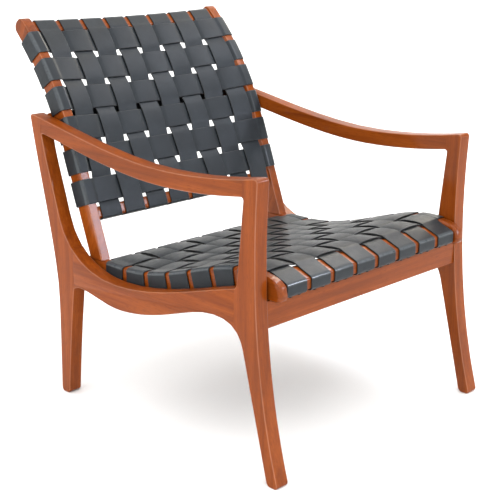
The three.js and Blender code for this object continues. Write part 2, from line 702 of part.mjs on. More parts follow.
// Even spacing of a number of straps between two places: the middle line of each
function spaceStraps(start, end, count) {
  const pitch = (end - start - STRAP_WIDTH) / (count - 1);
  return Array.from({ length: count }, (_, i) => start + STRAP_WIDTH / 2 + i * pitch);
}

const seatWeaveSide = railInner - SEAT_STRAP_SIDE_MARGIN;
const backWeaveSide = railInner - BACK_STRAP_SIDE_MARGIN;
const seatLongLines = spaceStraps(-seatWeaveSide, seatWeaveSide, SEAT_LONG_STRAPS);
const backUprightLines = spaceStraps(-backWeaveSide, backWeaveSide, BACK_UPRIGHT_STRAPS);
const seatCrossLines = spaceStraps(
  seatTravelAt(frontRailRear + SEAT_WEAVE_FRONT_MARGIN),
  seatTravelAt(rearBarFront - SEAT_WEAVE_REAR_MARGIN),
  SEAT_CROSS_STRAPS,
);
const backWeaveTop = STILE_LENGTH - BACK_WEAVE_TOP_MARGIN;
const backCrossLines = spaceStraps(BACK_WEAVE_START, backWeaveTop, BACK_CROSS_STRAPS);
const HALF = STRAP_WIDTH / 2;
const edgesOf = (line) => [line - HALF, line + HALF];
const edgesAndMiddle = (line) => [line - HALF, line, line + HALF];

// Where a crossing strap bends over and under the others; it clears the outermost edges
function crossingPlaces(lines) {
  const places = lines.map(edgesOf);
  places[0][0] -= STRAP_CORNER_CUT;
  places[lines.length - 1][1] += STRAP_CORNER_CUT;
  return places;
}

// Where the back's rails lie, along the stile
const bottomRailTop = BACK_WEAVE_START - BOTTOM_RAIL_MARGIN;
const bottomRailLow = bottomRailTop - BOTTOM_RAIL_HEIGHT;
const topRailLow = backWeaveTop + TOP_RAIL_MARGIN;
const topRailTop = topRailLow + TOP_RAIL_HEIGHT;
const backRailRear = BACK_RAIL_SETBACK + BACK_RAIL_THICKNESS;

// The top rail is bowed to fit the sitter, and the straps belly out between it and the bottom rail
function backBow(x, travel) {
  const crown = Math.max(0, 1 - (x / railInner) ** 2);
  const rise = THREE.MathUtils.clamp((travel - bottomRailTop) / (topRailLow - bottomRailTop), 0, 1);
  return crown * (TOP_RAIL_BOW * rise + BACK_BELLY * 4 * rise * (1 - rise));
}

function backPlace(x, travel, depth) {
  const p = backPoint(travel, depth + backBow(x, travel));
  return new THREE.Vector3(x, p.x, p.y);
}

// The seat sags a little between its rails and its bars
function seatDrop(x, y) {
  const crown = Math.max(0, 1 - (x / railInner) ** 2);
  const run = THREE.MathUtils.clamp((y - frontBarRear) / (rearBarFront - frontBarRear), 0, 1);
  return SEAT_SAG * crown * 4 * run * (1 - run);
}

// Joints of the seat and back frame
const frontBarTenon = {
  x: [barEnd - BAR_TENON_LENGTH, barEnd + BAR_TENON_LENGTH],
  y: around(frontBarFront + FRONT_BAR_TENON_SETBACK, TENON_THICKNESS),
  z: [frontBarLow + BAR_EDGE_ROUND, frontBarLow + BAR_EDGE_ROUND + TENON_THICKNESS],
};
const rearBarTenon = {
  x: [barEnd - BAR_TENON_LENGTH, barEnd + BAR_TENON_LENGTH],
  y: [rearBarFront + BAR_TENON_SHOULDER, rearBarRear - BAR_TENON_SHOULDER],
  z: [rearBarLow + BAR_EDGE_ROUND, rearBarTop - BAR_EDGE_ROUND],
};
const stileFoot = SEAT_HOLLOW_HEIGHT + FIT_GAP;
const stileTenon = {
  x: around(railCentre, TENON_THICKNESS),
  y: [rearBarRear, rearBarRear + STILE_TENON_WIDTH],
  z: [stileFoot - STILE_TENON_LENGTH, stileFoot + STILE_TENON_ROOT],
};

// A back rail is a rounded section, depth across and travel up, carried along the bow
function backRail(low, high) {
  const section = roundedBox([BACK_RAIL_SETBACK, low], [backRailRear, high], BAR_EDGE_ROUND);
  const bar = bowed(plank(section, 2 * barEnd, { steps: BOW_STEPS }));
  return SIDES.reduce((rail, [, side]) => rail.add(backRailTenon(low, high, side, 0)), bar);
}

function bowed(geometry) {
  const spots = geometry.attributes.position;
  for (let i = 0; i < spots.count; i += 1) {
    const place = backPlace(spots.getX(i), spots.getZ(i), spots.getY(i));
    spots.setXYZ(i, place.x, place.y, place.z);
  }
  return solidOf(geometry);
}

function backRailTenon(low, high, side, origin, clearance = 0) {
  const inset = BAR_EDGE_ROUND - clearance;
  const section = [
    backPoint(low + inset, BACK_RAIL_SETBACK + inset),
    backPoint(high - inset, BACK_RAIL_SETBACK + inset),
    backPoint(high - inset, backRailRear - inset),
    backPoint(low + inset, backRailRear - inset),
  ];
  const length = 2 * (BAR_TENON_LENGTH + clearance);
  return solidOf(plank(section, length, { middle: side * barEnd - origin }));
}

// A bolt stands on its head at z = 0
function bolt(length, clearance = 0) {
  const shank = BOLT_DIAMETER / 2 + clearance;
  const head = BOLT_HEAD_DIAMETER / 2 + clearance;
  const top = BOLT_HEAD_HEIGHT + clearance;
  const profile = [
    at(0, -clearance),
    at(head, -clearance),
    at(head, top),
    at(shank, top),
    at(shank, length + clearance),
    at(0, length + clearance),
  ];
  return new THREE.LatheGeometry(profile, BOLT_SIDES).rotateX(Math.PI / 2);
}

const boltPlaces = {
  front: {
    y: (frontRailFront + frontRailRear) / 2,
    z: frontRailTop - FRONT_RAIL_HEIGHT,
    length: FRONT_RAIL_HEIGHT + BOLT_GRIP,
  },
  rear: {
    y: (rearRailFront + rearRailRear) / 2,
    z: rearRailTop - REAR_RAIL_HEIGHT,
    length: REAR_RAIL_HEIGHT + BOLT_GRIP,
  },
};

function boltHole(place, x) {
  return solidOf(bolt(place.length, FIT_GAP).translate(x, place.y, place.z));
}

// Seat rail: the seat line and its parallel, with a round nose in front
const seatStations = seatCrossLines.flatMap(edgesAndMiddle);

function seatRailOutline() {
  const noseEnd = seatStations[0] - SEAT_NOSE_MARGIN;
  const nose = [0, 0.25, 0.5, 0.75].map((share) => seatPoint(share * noseEnd, 0));
  const noseCurl = at(seatNose, seatNoseLow + SEAT_NOSE_ROUND);
  return outline(
    nose,
    seatStations.map((travel) => seatPoint(travel, 0)),
    [seatPoint(seatLength, 0), seatPoint(seatLength, -SEAT_RAIL_DEPTH)],
    seatStations.map((travel) => seatPoint(travel, -SEAT_RAIL_DEPTH)).reverse(),
    fillet(at(seatNose + SEAT_NOSE_ROUND, seatNoseLow), at(seatNose, seatNoseLow), noseCurl, 4),
  );
}

function addSeatRail(word, side) {
  const origin = side * railCentre;
  const frontSlot = {
    x: [railInner - FIT_GAP, railOuter + FIT_GAP],
    y: [frontRailFront - FIT_GAP, frontRailRear + FIT_GAP],
    z: [frontRailTop - FRONT_RAIL_HEIGHT, seatUnderside],
  };
  const rearSlot = {
    x: [railInner - FIT_GAP, railOuter + FIT_GAP],
    y: [rearRailFront - FIT_GAP, seatRear + FIT_GAP],
    z: [rearRailTop - REAR_RAIL_HEIGHT, rearRailTop + FIT_GAP],
  };
  const shaped = plank(seatRailOutline(), SEAT_RAIL_THICKNESS, {
    round: SEAT_RAIL_EDGE_ROUND,
    roundSteps: 1,
  });
  const rail = solidOf(shaped)
    .subtract(tenonBlock(frontSlot, side, origin))
    .subtract(tenonBlock(rearSlot, side, origin))
    .subtract(tenonBlock(frontBarTenon, side, origin, FIT_GAP))
    .subtract(tenonBlock(rearBarTenon, side, origin, FIT_GAP))
    .subtract(tenonBlock(stileTenon, side, origin, FIT_GAP))
    .subtract(boltHole(boltPlaces.front, 0))
    .subtract(boltHole(boltPlaces.rear, 0));
  addPiece(`${word}_seat_rail`, geometryOf(rail), wood(), origin);
}

// Back stile: the back's curve and its parallel, rounded at the top and tenoned into the seat rail
function stileOutline() {
  const stations = [-2 * STILE_TENON_LENGTH, ...backCrossLines.flatMap(edgesAndMiddle)];
  const end = [
    fillet(at(STILE_LENGTH - STILE_END_ROUND, 0), at(STILE_LENGTH, 0), at(STILE_LENGTH, STILE_END_ROUND)),
    fillet(
      at(STILE_LENGTH, STILE_DEPTH - STILE_END_ROUND),
      at(STILE_LENGTH, STILE_DEPTH),
      at(STILE_LENGTH - STILE_END_ROUND, STILE_DEPTH),
    ),
  ].flat();
  return outline(
    stations.map((travel) => backPoint(travel, 0)),
    end.map((p) => backPoint(p.x, p.y)),
    stations.map((travel) => backPoint(travel, STILE_DEPTH)).reverse(),
  );
}

function addStile(word, side) {
  const origin = side * railCentre;
  const belowSeat = {
    x: [railInner - FIT_GAP, railOuter + FIT_GAP],
    y: [backFoot.x - FAR, backFoot.x + FAR],
    z: [stileFoot - FAR, stileFoot],
  };
  const stile = solidOf(plank(stileOutline(), SEAT_RAIL_THICKNESS, { round: STILE_EDGE_ROUND }))
    .subtract(tenonBlock(belowSeat, side, origin))
    .add(tenonBlock(stileTenon, side, origin))
    .subtract(backRailTenon(bottomRailLow, bottomRailTop, side, origin, FIT_GAP))
    .subtract(backRailTenon(topRailLow, topRailTop, side, origin, FIT_GAP));
  addPiece(`${word}_back_stile`, geometryOf(stile), wood(), origin);
}

// Straight members across the chair
function withTenons(bar, tenon) {
  return SIDES.reduce((joined, [, side]) => joined.add(tenonBlock(tenon, side, 0)), solidOf(bar));
}

function withBoltHoles(rail, place) {
  return SIDES.reduce((drilled, [, side]) => drilled.subtract(boltHole(place, side * railCentre)), rail);
}

// Front bar: sloped under the straps, with a ledge that reaches below the first cross strap
function frontBarOutline() {
  const round = BAR_EDGE_ROUND;
  const [front, rear, low] = [frontBarFront, frontBarRear + FRONT_BAR_LEDGE, frontBarLow];
  const creaseEnd = frontBarCrease.clone().addScaledVector(frontBarSlope, FRONT_BAR_CREASE_ROUND);
  const ledge = at(rear, frontBarTop.y - FRONT_BAR_LEDGE_DROP);
  const ledgeStart = ledge.clone().lerp(frontBarTop, round / FRONT_BAR_LEDGE);
  return outline(
    fillet(at(front, low + round), at(front, low), at(front + round, low)),
    fillet(at(rear - round, low), at(rear, low), at(rear, low + round)),
    fillet(at(rear, ledge.y - round), ledge, ledgeStart),
    [frontBarTop],
    fillet(creaseEnd, frontBarCrease, at(front, frontBarCrease.y - FRONT_BAR_CREASE_ROUND)),
  );
}

function crossBar(low, high, round, end) {
  return plank(roundedBox(low, high, round), 2 * end);
}

function addCrossMembers() {
  const frontRail = crossBar(
    [frontRailFront, frontRailTop - FRONT_RAIL_HEIGHT],
    [frontRailRear, frontRailTop],
    CROSS_RAIL_EDGE_ROUND,
    crossRailEnd,
  );
  const rearRail = crossBar(
    [rearRailFront, rearRailTop - REAR_RAIL_HEIGHT],
    [rearRailRear, rearRailTop],
    CROSS_RAIL_EDGE_ROUND,
    crossRailEnd,
  );
  const rearBar = crossBar([rearBarFront, rearBarLow], [rearBarRear, rearBarTop], BAR_EDGE_ROUND, barEnd);
  const frontBar = plank(frontBarOutline(), 2 * barEnd);
  const support = SIDES.reduce(
    (rail, [, side]) => rail.add(supportTenon(side, 0)),
    solidOf(plank(supportSection(0), 2 * crossRailEnd)),
  );
  const members = {
    front_rail: withBoltHoles(withTenons(frontRail, frontRailTenon), boltPlaces.front),
    rear_rail: withBoltHoles(withTenons(rearRail, rearRailTenon), boltPlaces.rear),
    back_support_rail: support,
    seat_front_bar: withTenons(frontBar, frontBarTenon),
    seat_rear_bar: withTenons(rearBar, rearBarTenon),
    back_bottom_rail: backRail(bottomRailLow, bottomRailTop),
    back_top_rail: backRail(topRailLow, topRailTop),
  };
  Object.entries(members).forEach(([name, solid]) => addPiece(name, geometryOf(solid), wood()));
}

// A strap is lofted along a path of (travel, height) points.
// Every ring has points across the width on one face and back again on the other.
// place(travel, across, height) puts a point on the seat or the back.
function strap(path, across, place) {
  const spots = [];
  const faces = [];
  const ringSize = 2 * across.length;
  const square = (from, to) => {
    const along = to.clone().sub(from).normalize();
    return at(-along.y, along.x);
  };
  path.forEach((point, i) => {
    const before = square(path[Math.max(0, i - 1)], path[Math.max(1, i)]);
    const after = square(path[Math.min(i, path.length - 2)], path[Math.min(i + 1, path.length - 1)]);
    const mitre = before.clone().add(after).divideScalar(1 + before.dot(after));
    const out = mitre.multiplyScalar(STRAP_THICKNESS / 2);
    across.forEach((w) => spots.push(place(point.x + out.x, w, point.y + out.y)));
    across.toReversed().forEach((w) => spots.push(place(point.x - out.x, w, point.y - out.y)));
  });
  for (let ring = 0; ring < path.length - 1; ring += 1) {
    for (let j = 0; j < ringSize; j += 1) {
      const a = ring * ringSize + j;
      const b = ring * ringSize + (j + 1) % ringSize;
      const c = b + ringSize;
      const d = a + ringSize;
      // crossing straps split their shared squares along the same diagonal
      faces.push(...(j < across.length ? [a, b, c, a, c, d] : [a, b, d, b, c, d]));
    }
  }
  const last = (path.length - 1) * ringSize;
  for (let j = 0; j < across.length - 1; j += 1) {
    const [a, b, c, d] = [j, j + 1, ringSize - 2 - j, ringSize - 1 - j];
    faces.push(d, c, b, d, b, a);
    faces.push(last + a, last + b, last + c, last + a, last + c, last + d);
  }
  const geometry = new THREE.BufferGeometry().setFromPoints(spots);
  geometry.setIndex(facesOutward(spots, faces));
  geometry.computeVertexNormals();
  return geometry;
}

// Turns the faces of a closed surface outward
function facesOutward(spots, faces) {
  let volume = 0;
  for (let i = 0; i < faces.length; i += 3) {
    const [a, b, c] = faces.slice(i, i + 3).map((index) => spots[index]);
    volume += a.dot(b.clone().cross(c));
  }
  return volume > 0 ? faces : faces.toReversed();
}

// A strap end folded round a bar, from its free end on the far face to the near face.
// edge is the outer edge of the bar and outward the way it faces along the travel.
function fold(edge, outward, near, far, leave) {
  const rim = edge + outward * strapOffset;
  const cut = strapOffset + STRAP_CORNER_CUT;
  const turn = Math.sign(near - far);
  return [
    at(edge - outward * STRAP_RETURN, far),
    at(rim, far),
    at(rim, near - turn * cut),
    at(rim - outward * cut, near),
    at(leave, near),
  ];
}

const over = (i, j) => ((i + j) % 2 === 0 ? 1 : -1);

function addSeatStraps() {
  const seatPlace = (x, travel, height) => {
    const p = seatPoint(travel, height);
    return new THREE.Vector3(x, p.x, p.y - seatDrop(x, p.x));
  };
  seatCrossLines.forEach((line, j) => {
    const ends = [-1, 1].map((side) => fold(
      side * railOuter,
      side,
      strapOffset,
      -SEAT_RAIL_DEPTH - strapOffset,
      side * (railInner + STRAP_CORNER_CUT),
    ));
    const weave = crossingPlaces(seatLongLines).flatMap((edges, i) => (
      edges.map((edge) => at(edge, over(i, j) * weaveLift))
    ));
    const path = [...ends[0], ...weave, ...ends[1].reverse()];
    addPiece(`seat_strap_cross_${j + 1}`, strap(path, edgesAndMiddle(line), seatPlace), leather());
  });
  const frontLow = frontBarLow - strapOffset;
  const frontRim = frontBarFront - strapOffset;
  const lift = at(-frontBarSlope.y, frontBarSlope.x).multiplyScalar(strapOffset);
  const frontEnd = [
    at(frontRailFront - SEAT_WEAVE_FRONT_MARGIN, frontLow),
    at(frontBarFront + STRAP_CORNER_CUT, frontLow),
    at(frontRim, frontBarLow + STRAP_CORNER_CUT),
    at(frontRim, frontBarCrease.y - STRAP_LAY),
    frontBarCrease.clone().addScaledVector(frontBarSlope, STRAP_CORNER_CUT).add(lift),
    frontBarTop.clone().add(lift),
  ];
  const rearEnd = fold(
    rearBarRear,
    1,
    rearBarTop + strapOffset,
    rearBarLow - strapOffset,
    rearBarFront + STRAP_CORNER_CUT,
  );
  seatLongLines.forEach((x, i) => {
    const weave = seatCrossLines.flatMap((line, j) => (
      edgesAndMiddle(line).map((travel) => seatPoint(travel, -over(i, j) * weaveLift))
    ));
    const path = [...frontEnd, ...weave, ...rearEnd.toReversed()];
    const place = (y, across, z) => new THREE.Vector3(across, y, z - seatDrop(across, y));
    addPiece(`seat_strap_long_${i + 1}`, strap(path, edgesOf(x), place), leather());
  });
}

function addBackStraps() {
  const weaveDepth = BACK_RAIL_SETBACK - strapOffset;
  const topDown = backCrossLines.toReversed();
  topDown.forEach((line, j) => {
    const ends = [-1, 1].map((side) => fold(
      side * railOuter,
      side,
      -strapOffset,
      STILE_DEPTH + strapOffset,
      side * (railInner + STRAP_CORNER_CUT),
    ));
    const weave = crossingPlaces(backUprightLines).flatMap((edges, i) => (
      edges.map((edge) => at(edge, weaveDepth + over(i, j) * weaveLift))
    ));
    const path = [...ends[0], ...weave, ...ends[1].reverse()];
    addPiece(`back_strap_cross_${j + 1}`, strap(path, edgesAndMiddle(line), backPlace), leather());
  });
  const lowEnd = fold(
    bottomRailLow,
    -1,
    weaveDepth,
    backRailRear + strapOffset,
    bottomRailTop - STRAP_CORNER_CUT,
  );
  const topEnd = fold(
    topRailTop,
    1,
    weaveDepth,
    backRailRear + strapOffset,
    topRailLow + STRAP_CORNER_CUT,
  );
  backUprightLines.forEach((x, i) => {
    const weave = backCrossLines.flatMap((line, k) => (
      edgesAndMiddle(line).map((travel) => (
        at(travel, weaveDepth - over(i, backCrossLines.length - 1 - k) * weaveLift)
      ))
    ));
    const path = [...lowEnd, ...weave, ...topEnd.toReversed()];
    const place = (travel, across, depth) => backPlace(across, travel, depth);
    addPiece(`back_strap_upright_${i + 1}`, strap(path, edgesOf(x), place), leather());
  });
}

function addBolts(word, side) {
  Object.entries(boltPlaces).forEach(([end, place]) => {
    const body = geometryOf(solidOf(bolt(place.length)));
    addPiece(`${word}_${end}_bolt`, body, steel(), side * railCentre, place.y, place.z);
  });
}

SIDES.forEach(([word, side]) => {
  addSideFrame(word, side);
  addSeatRail(word, side);
  addStile(word, side);
  addBolts(word, side);
});
addCrossMembers();
addSeatStraps();
addBackStraps();

// The origin is on the floor, under the middle of the chair
const box = new THREE.Box3().setFromObject(chair);
const middle = box.getCenter(new THREE.Vector3());
chair.position.set(-middle.x, -middle.y, -box.min.z);

export default chair;
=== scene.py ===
"""Looks of a woven strap lounge chair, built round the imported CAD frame."""

import math

import bmesh
import bpy
import numpy as np
from bpy.props import FloatProperty, FloatVectorProperty, PointerProperty
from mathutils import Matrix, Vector


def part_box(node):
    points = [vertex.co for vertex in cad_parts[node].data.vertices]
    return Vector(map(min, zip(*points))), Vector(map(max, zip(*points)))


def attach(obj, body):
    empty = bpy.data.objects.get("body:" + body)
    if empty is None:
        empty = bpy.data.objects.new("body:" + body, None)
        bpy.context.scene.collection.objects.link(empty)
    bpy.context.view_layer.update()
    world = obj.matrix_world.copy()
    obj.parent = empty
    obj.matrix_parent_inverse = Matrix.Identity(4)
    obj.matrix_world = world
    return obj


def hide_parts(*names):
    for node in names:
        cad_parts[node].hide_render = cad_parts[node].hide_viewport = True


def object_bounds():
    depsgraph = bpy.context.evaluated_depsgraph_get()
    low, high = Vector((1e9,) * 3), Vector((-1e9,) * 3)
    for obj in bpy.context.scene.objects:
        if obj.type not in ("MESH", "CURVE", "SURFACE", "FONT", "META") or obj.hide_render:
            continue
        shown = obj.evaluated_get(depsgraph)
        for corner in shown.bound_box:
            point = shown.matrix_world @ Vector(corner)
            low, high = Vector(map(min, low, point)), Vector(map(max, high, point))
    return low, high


bl_info = {
    "name": "Woven strap lounge chair",
    "version": (1, 0, 0),
    "blender": (4, 5, 0),
    "location": "View3D > Sidebar > Lounge chair",
    "description": "Dresses the lounge chair's frame in lacquered wood and woven leather straps",
    "category": "Object",
}

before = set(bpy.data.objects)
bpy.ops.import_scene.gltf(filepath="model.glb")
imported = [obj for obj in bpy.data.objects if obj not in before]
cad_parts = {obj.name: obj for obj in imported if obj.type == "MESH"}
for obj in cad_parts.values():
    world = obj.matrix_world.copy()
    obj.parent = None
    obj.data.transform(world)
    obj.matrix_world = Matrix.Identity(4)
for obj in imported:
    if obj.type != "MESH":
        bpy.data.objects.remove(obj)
CAD_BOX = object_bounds()
MM = 0.001
SIDES = ("right", "left")

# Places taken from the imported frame, in metres
seat_rail_low, seat_rail_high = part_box("right_seat_rail")
front_bar_low, front_bar_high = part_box("seat_front_bar")
rear_bar_low, rear_bar_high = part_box("seat_rear_bar")
front_rail_low, front_rail_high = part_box("front_rail")
RAIL_OUTER = -seat_rail_low.x
RAIL_INNER = -seat_rail_high.x
SEAT_NOSE = seat_rail_low.y
SEAT_REAR = seat_rail_high.y
SEAT_CREST = seat_rail_high.z
REAR_BAR_TOP_DROP = 4.5 * MM
SEAT_HOLLOW = rear_bar_high.z + REAR_BAR_TOP_DROP

# The seat line of the CAD source: nose, crest and hollow, and the pulls of its curves
SEAT_RAIL_DEPTH = 46 * MM
SEAT_NOSE_TIP_LIFT = 12.5 * MM
SEAT_NOSE_RISE = 27 * MM
SEAT_CREST_SETBACK = 86 * MM
SEAT_NOSE_HANDLE = 55 * MM
SEAT_CREST_HANDLE = 95 * MM
SEAT_HOLLOW_HANDLE = 145 * MM
SEAT_FLAT_LENGTH = 125 * MM
SEAT_WEAVE_FRONT_MARGIN = 2.5 * MM
SEAT_WEAVE_REAR_MARGIN = 3 * MM
SEAT_SIDE_MARGIN = 4 * MM
SEAT_STRAIGHTENING = 0.65
FRONT_BAR_CREASE_DROP = 20.4 * MM
FRONT_BAR_TOP_DROP = 7 * MM
FRONT_BAR_LEDGE = 18 * MM
FRONT_BAR_TOP_REAR = front_bar_high.y - FRONT_BAR_LEDGE

# The back's curve and the rails that its straps fold round
BACK_FOOT_OVERLAP = 5 * MM
BACK_TILT = math.radians(19.85)
BACK_STRAIGHT = 245 * MM
BACK_RADIUS = 690 * MM
STILE_DEPTH = 37 * MM
BACK_WEAVE_START = 123 * MM
BACK_WEAVE_TOP = 522 * MM
BACK_SIDE_MARGIN = 8 * MM
BACK_RAIL_SETBACK = 4 * MM
BACK_RAIL_THICKNESS = 20 * MM
BOTTOM_RAIL_LOW = 89 * MM
BOTTOM_RAIL_TOP = 116 * MM
TOP_RAIL_LOW = 526 * MM
TOP_RAIL_TOP = 556 * MM
TOP_RAIL_BOW = 7 * MM
BACK_BELLY = 19.5 * MM

# Straps: how many there are, how they clear the wood and each other, their ends and their bulges
SEAT_LONG_STRAPS = 8
SEAT_CROSS_STRAPS = 7
BACK_UPRIGHT_STRAPS = 8
BACK_CROSS_STRAPS = 6
STRAP_LAY = 0.4 * MM
STRAP_GAP = 0.3 * MM
STRAP_RETURN = 18 * MM
STRAP_CORNER_CUT = 2 * MM
SEAT_BULGE = 1.7 * MM
BACK_BULGE = 1.0 * MM
UNDER_BULGE = 0.4 * MM
# How finely a strap's path and its section are drawn
BULGE_STATIONS = 7
PATH_STEP = 1.5 * MM
PATH_SMOOTHING = 3
STATION_TURN = math.radians(4)
STATION_STEP = 9 * MM
ACROSS_SEGMENTS = 10
EDGE_SEGMENTS = 3
EDGE_SUPPORT = 0.7 * MM

# Camera of the photograph, fitted to the chair: its place in metres, its lens and sensor in millimetres.
# The small shift is for the framing.
CAMERA_AHEAD_OF_FEET = 1.2641
CAMERA_PLACE = (-1.67291, CAD_BOX[0].y - CAMERA_AHEAD_OF_FEET, 1.00205)
CAMERA_YAW = math.radians(45.274)
CAMERA_PITCH = math.radians(15.235)
CAMERA_LENS = 80.105
CAMERA_SENSOR = 36
CAMERA_SHIFT = -0.04


def linear(code):
    """A '#rrggbb' sRGB colour as the linear RGBA that Blender's sockets take."""
    parts = [int(code[i:i + 2], 16) / 255 for i in (1, 3, 5)]
    curve = [c / 12.92 if c <= 0.04045 else ((c + 0.055) / 1.055) ** 2.4 for c in parts]
    return (*curve, 1.0)


def shade(tone, share):
    """A linear colour made darker or lighter by a share."""
    return (*(share * c for c in tone[:3]), 1.0)


def colour(name, description, code):
    """A colour that can be changed, with its default as an sRGB code."""
    return FloatVectorProperty(
        name=name, description=description, subtype="COLOR", size=4, min=0, max=1, default=linear(code),
    )


def length(name, description, value):
    """A length in metres that can be changed."""
    return FloatProperty(name=name, description=description, unit="LENGTH", min=0, default=value)


class ChairSizes(bpy.types.PropertyGroup):
    """Sizes of the leather and the fittings."""
    strap_width: length("Strap width", "Width that each strap is cut to", 54 * MM)
    strap_thickness: length("Strap thickness", "Thickness of the strap leather", 3 * MM)
    strap_edge: length("Edge round", "Rounding of the straps' cut edges", 0.8 * MM)
    strap_crown: length("Crown", "How far a strap's middle stands above its edges", 0.1 * MM)
    tack_diameter: length("Tack head", "Diameter of the domed tack heads", 9 * MM)
    tack_height: length("Tack height", "Height of the domed tack heads", 2.2 * MM)
    tack_spread: length("Tack spread", "Distance of a strap's two tacks from its middle line", 12 * MM)


class ChairColours(bpy.types.PropertyGroup):
    """Colours of the finishes."""
    wood_light: colour("Wood light", "Pale early growth of the wood", "#914712")
    wood_middle: colour("Wood middle", "Main tone of the wood", "#7b380b")
    wood_dark: colour("Wood dark", "Dark late growth and pores of the wood", "#5d2908")
    # Painted highlight: the pale tone that the arrises are mixed towards
    wood_arris_highlight: colour("Wood arris highlight", "Painted highlight on the wood along the arrises", "#dcae90")
    leather_middle: colour("Leather", "Main tone of the strap leather", "#20252a")
    # Paler tone of the folds: partly pull-up paling of the leather, partly a painted highlight
    leather_pull_highlight: colour("Leather pulled and highlit", "Tone of the leather where it is pulled round an edge", "#50575c")
    leather_edge: colour("Leather edge", "Dye on the straps' cut edges", "#0d0e10")
    steel: colour("Steel", "Plain steel of the bolts", "#8d9092")
    tack: colour("Tack", "Blackened steel of the tacks", "#2c2b2a")
    floor: colour("Floor", "Pale studio floor", "#f9f9f8")


def add_node(tree, kind, settings, feeds=None):
    """Adds a node, sets its properties and free sockets, and links what feeds it: a socket, or a node by
    its first output."""
    node = tree.nodes.new(kind)
    for key, value in settings.items():
        if key == "stops":
            ramp = node.color_ramp.elements
            for i, (place, tone) in enumerate(value):
                stop = ramp[i] if i < len(ramp) else ramp.new(place)
                stop.position = place
                stop.color = tone
        elif isinstance(key, int) or key in node.inputs:
            node.inputs[key].default_value = value
        else:
            setattr(node, key, value)
    for key, source in (feeds or {}).items():
        socket = source.outputs[0] if isinstance(source, bpy.types.Node) else source
        tree.links.new(socket, node.inputs[key])
    return node


def new_material(name):
    """An empty material, its node tree, and the socket that gives the place on a piece."""
    material = bpy.data.materials.new(name)
    material.use_nodes = True
    tree = material.node_tree
    tree.nodes.clear()
    return material, tree, add_node(tree, "ShaderNodeTexCoord", {}).outputs["Object"]


def close_material(material, shader):
    """Links the finished shader to the material's surface, and gives the material."""
    add_node(material.node_tree, "ShaderNodeOutputMaterial", {}, {"Surface": shader})
    return material


# Sizes of the wood's figure: growth bands, fibres, pores and broad changes of tone.
# Fibres and pores are really about 0.2 mm wide, and are drawn coarser so that they show.
BAND_WIDTH, BAND_LENGTH = 26 * MM, 620 * MM
FIBRE_WIDTH, FIBRE_LENGTH = 3.2 * MM, 150 * MM
PORE_WIDTH, PORE_LENGTH = 1.4 * MM, 16 * MM
TONE_SIZE = 240 * MM
# Rings that each band is folded into, and the shares of fibre and of broad tone in the figure
RINGS_IN_BAND = 5.0
FIBRE_SHARE = 0.62
TONE_SHARE = 0.4
# Levels of the figure at which the wood is dark, middling and light, and those between which a pore opens
WOOD_LEVELS = (0.22, 0.48, 0.78)
PORE_LEVELS = (0.56, 0.72)
PORE_DARKNESS = 0.5
PORE_DEPTH = 0.2 * MM
# Roughness under the lacquer, from the smoothest fibre to the roughest
WOOD_ROUGHNESS = (0.30, 0.44)
# Takes each piece's pattern from another place of the log, in metres
PIECE_SPREAD = (3.1, 4.7, 5.3)


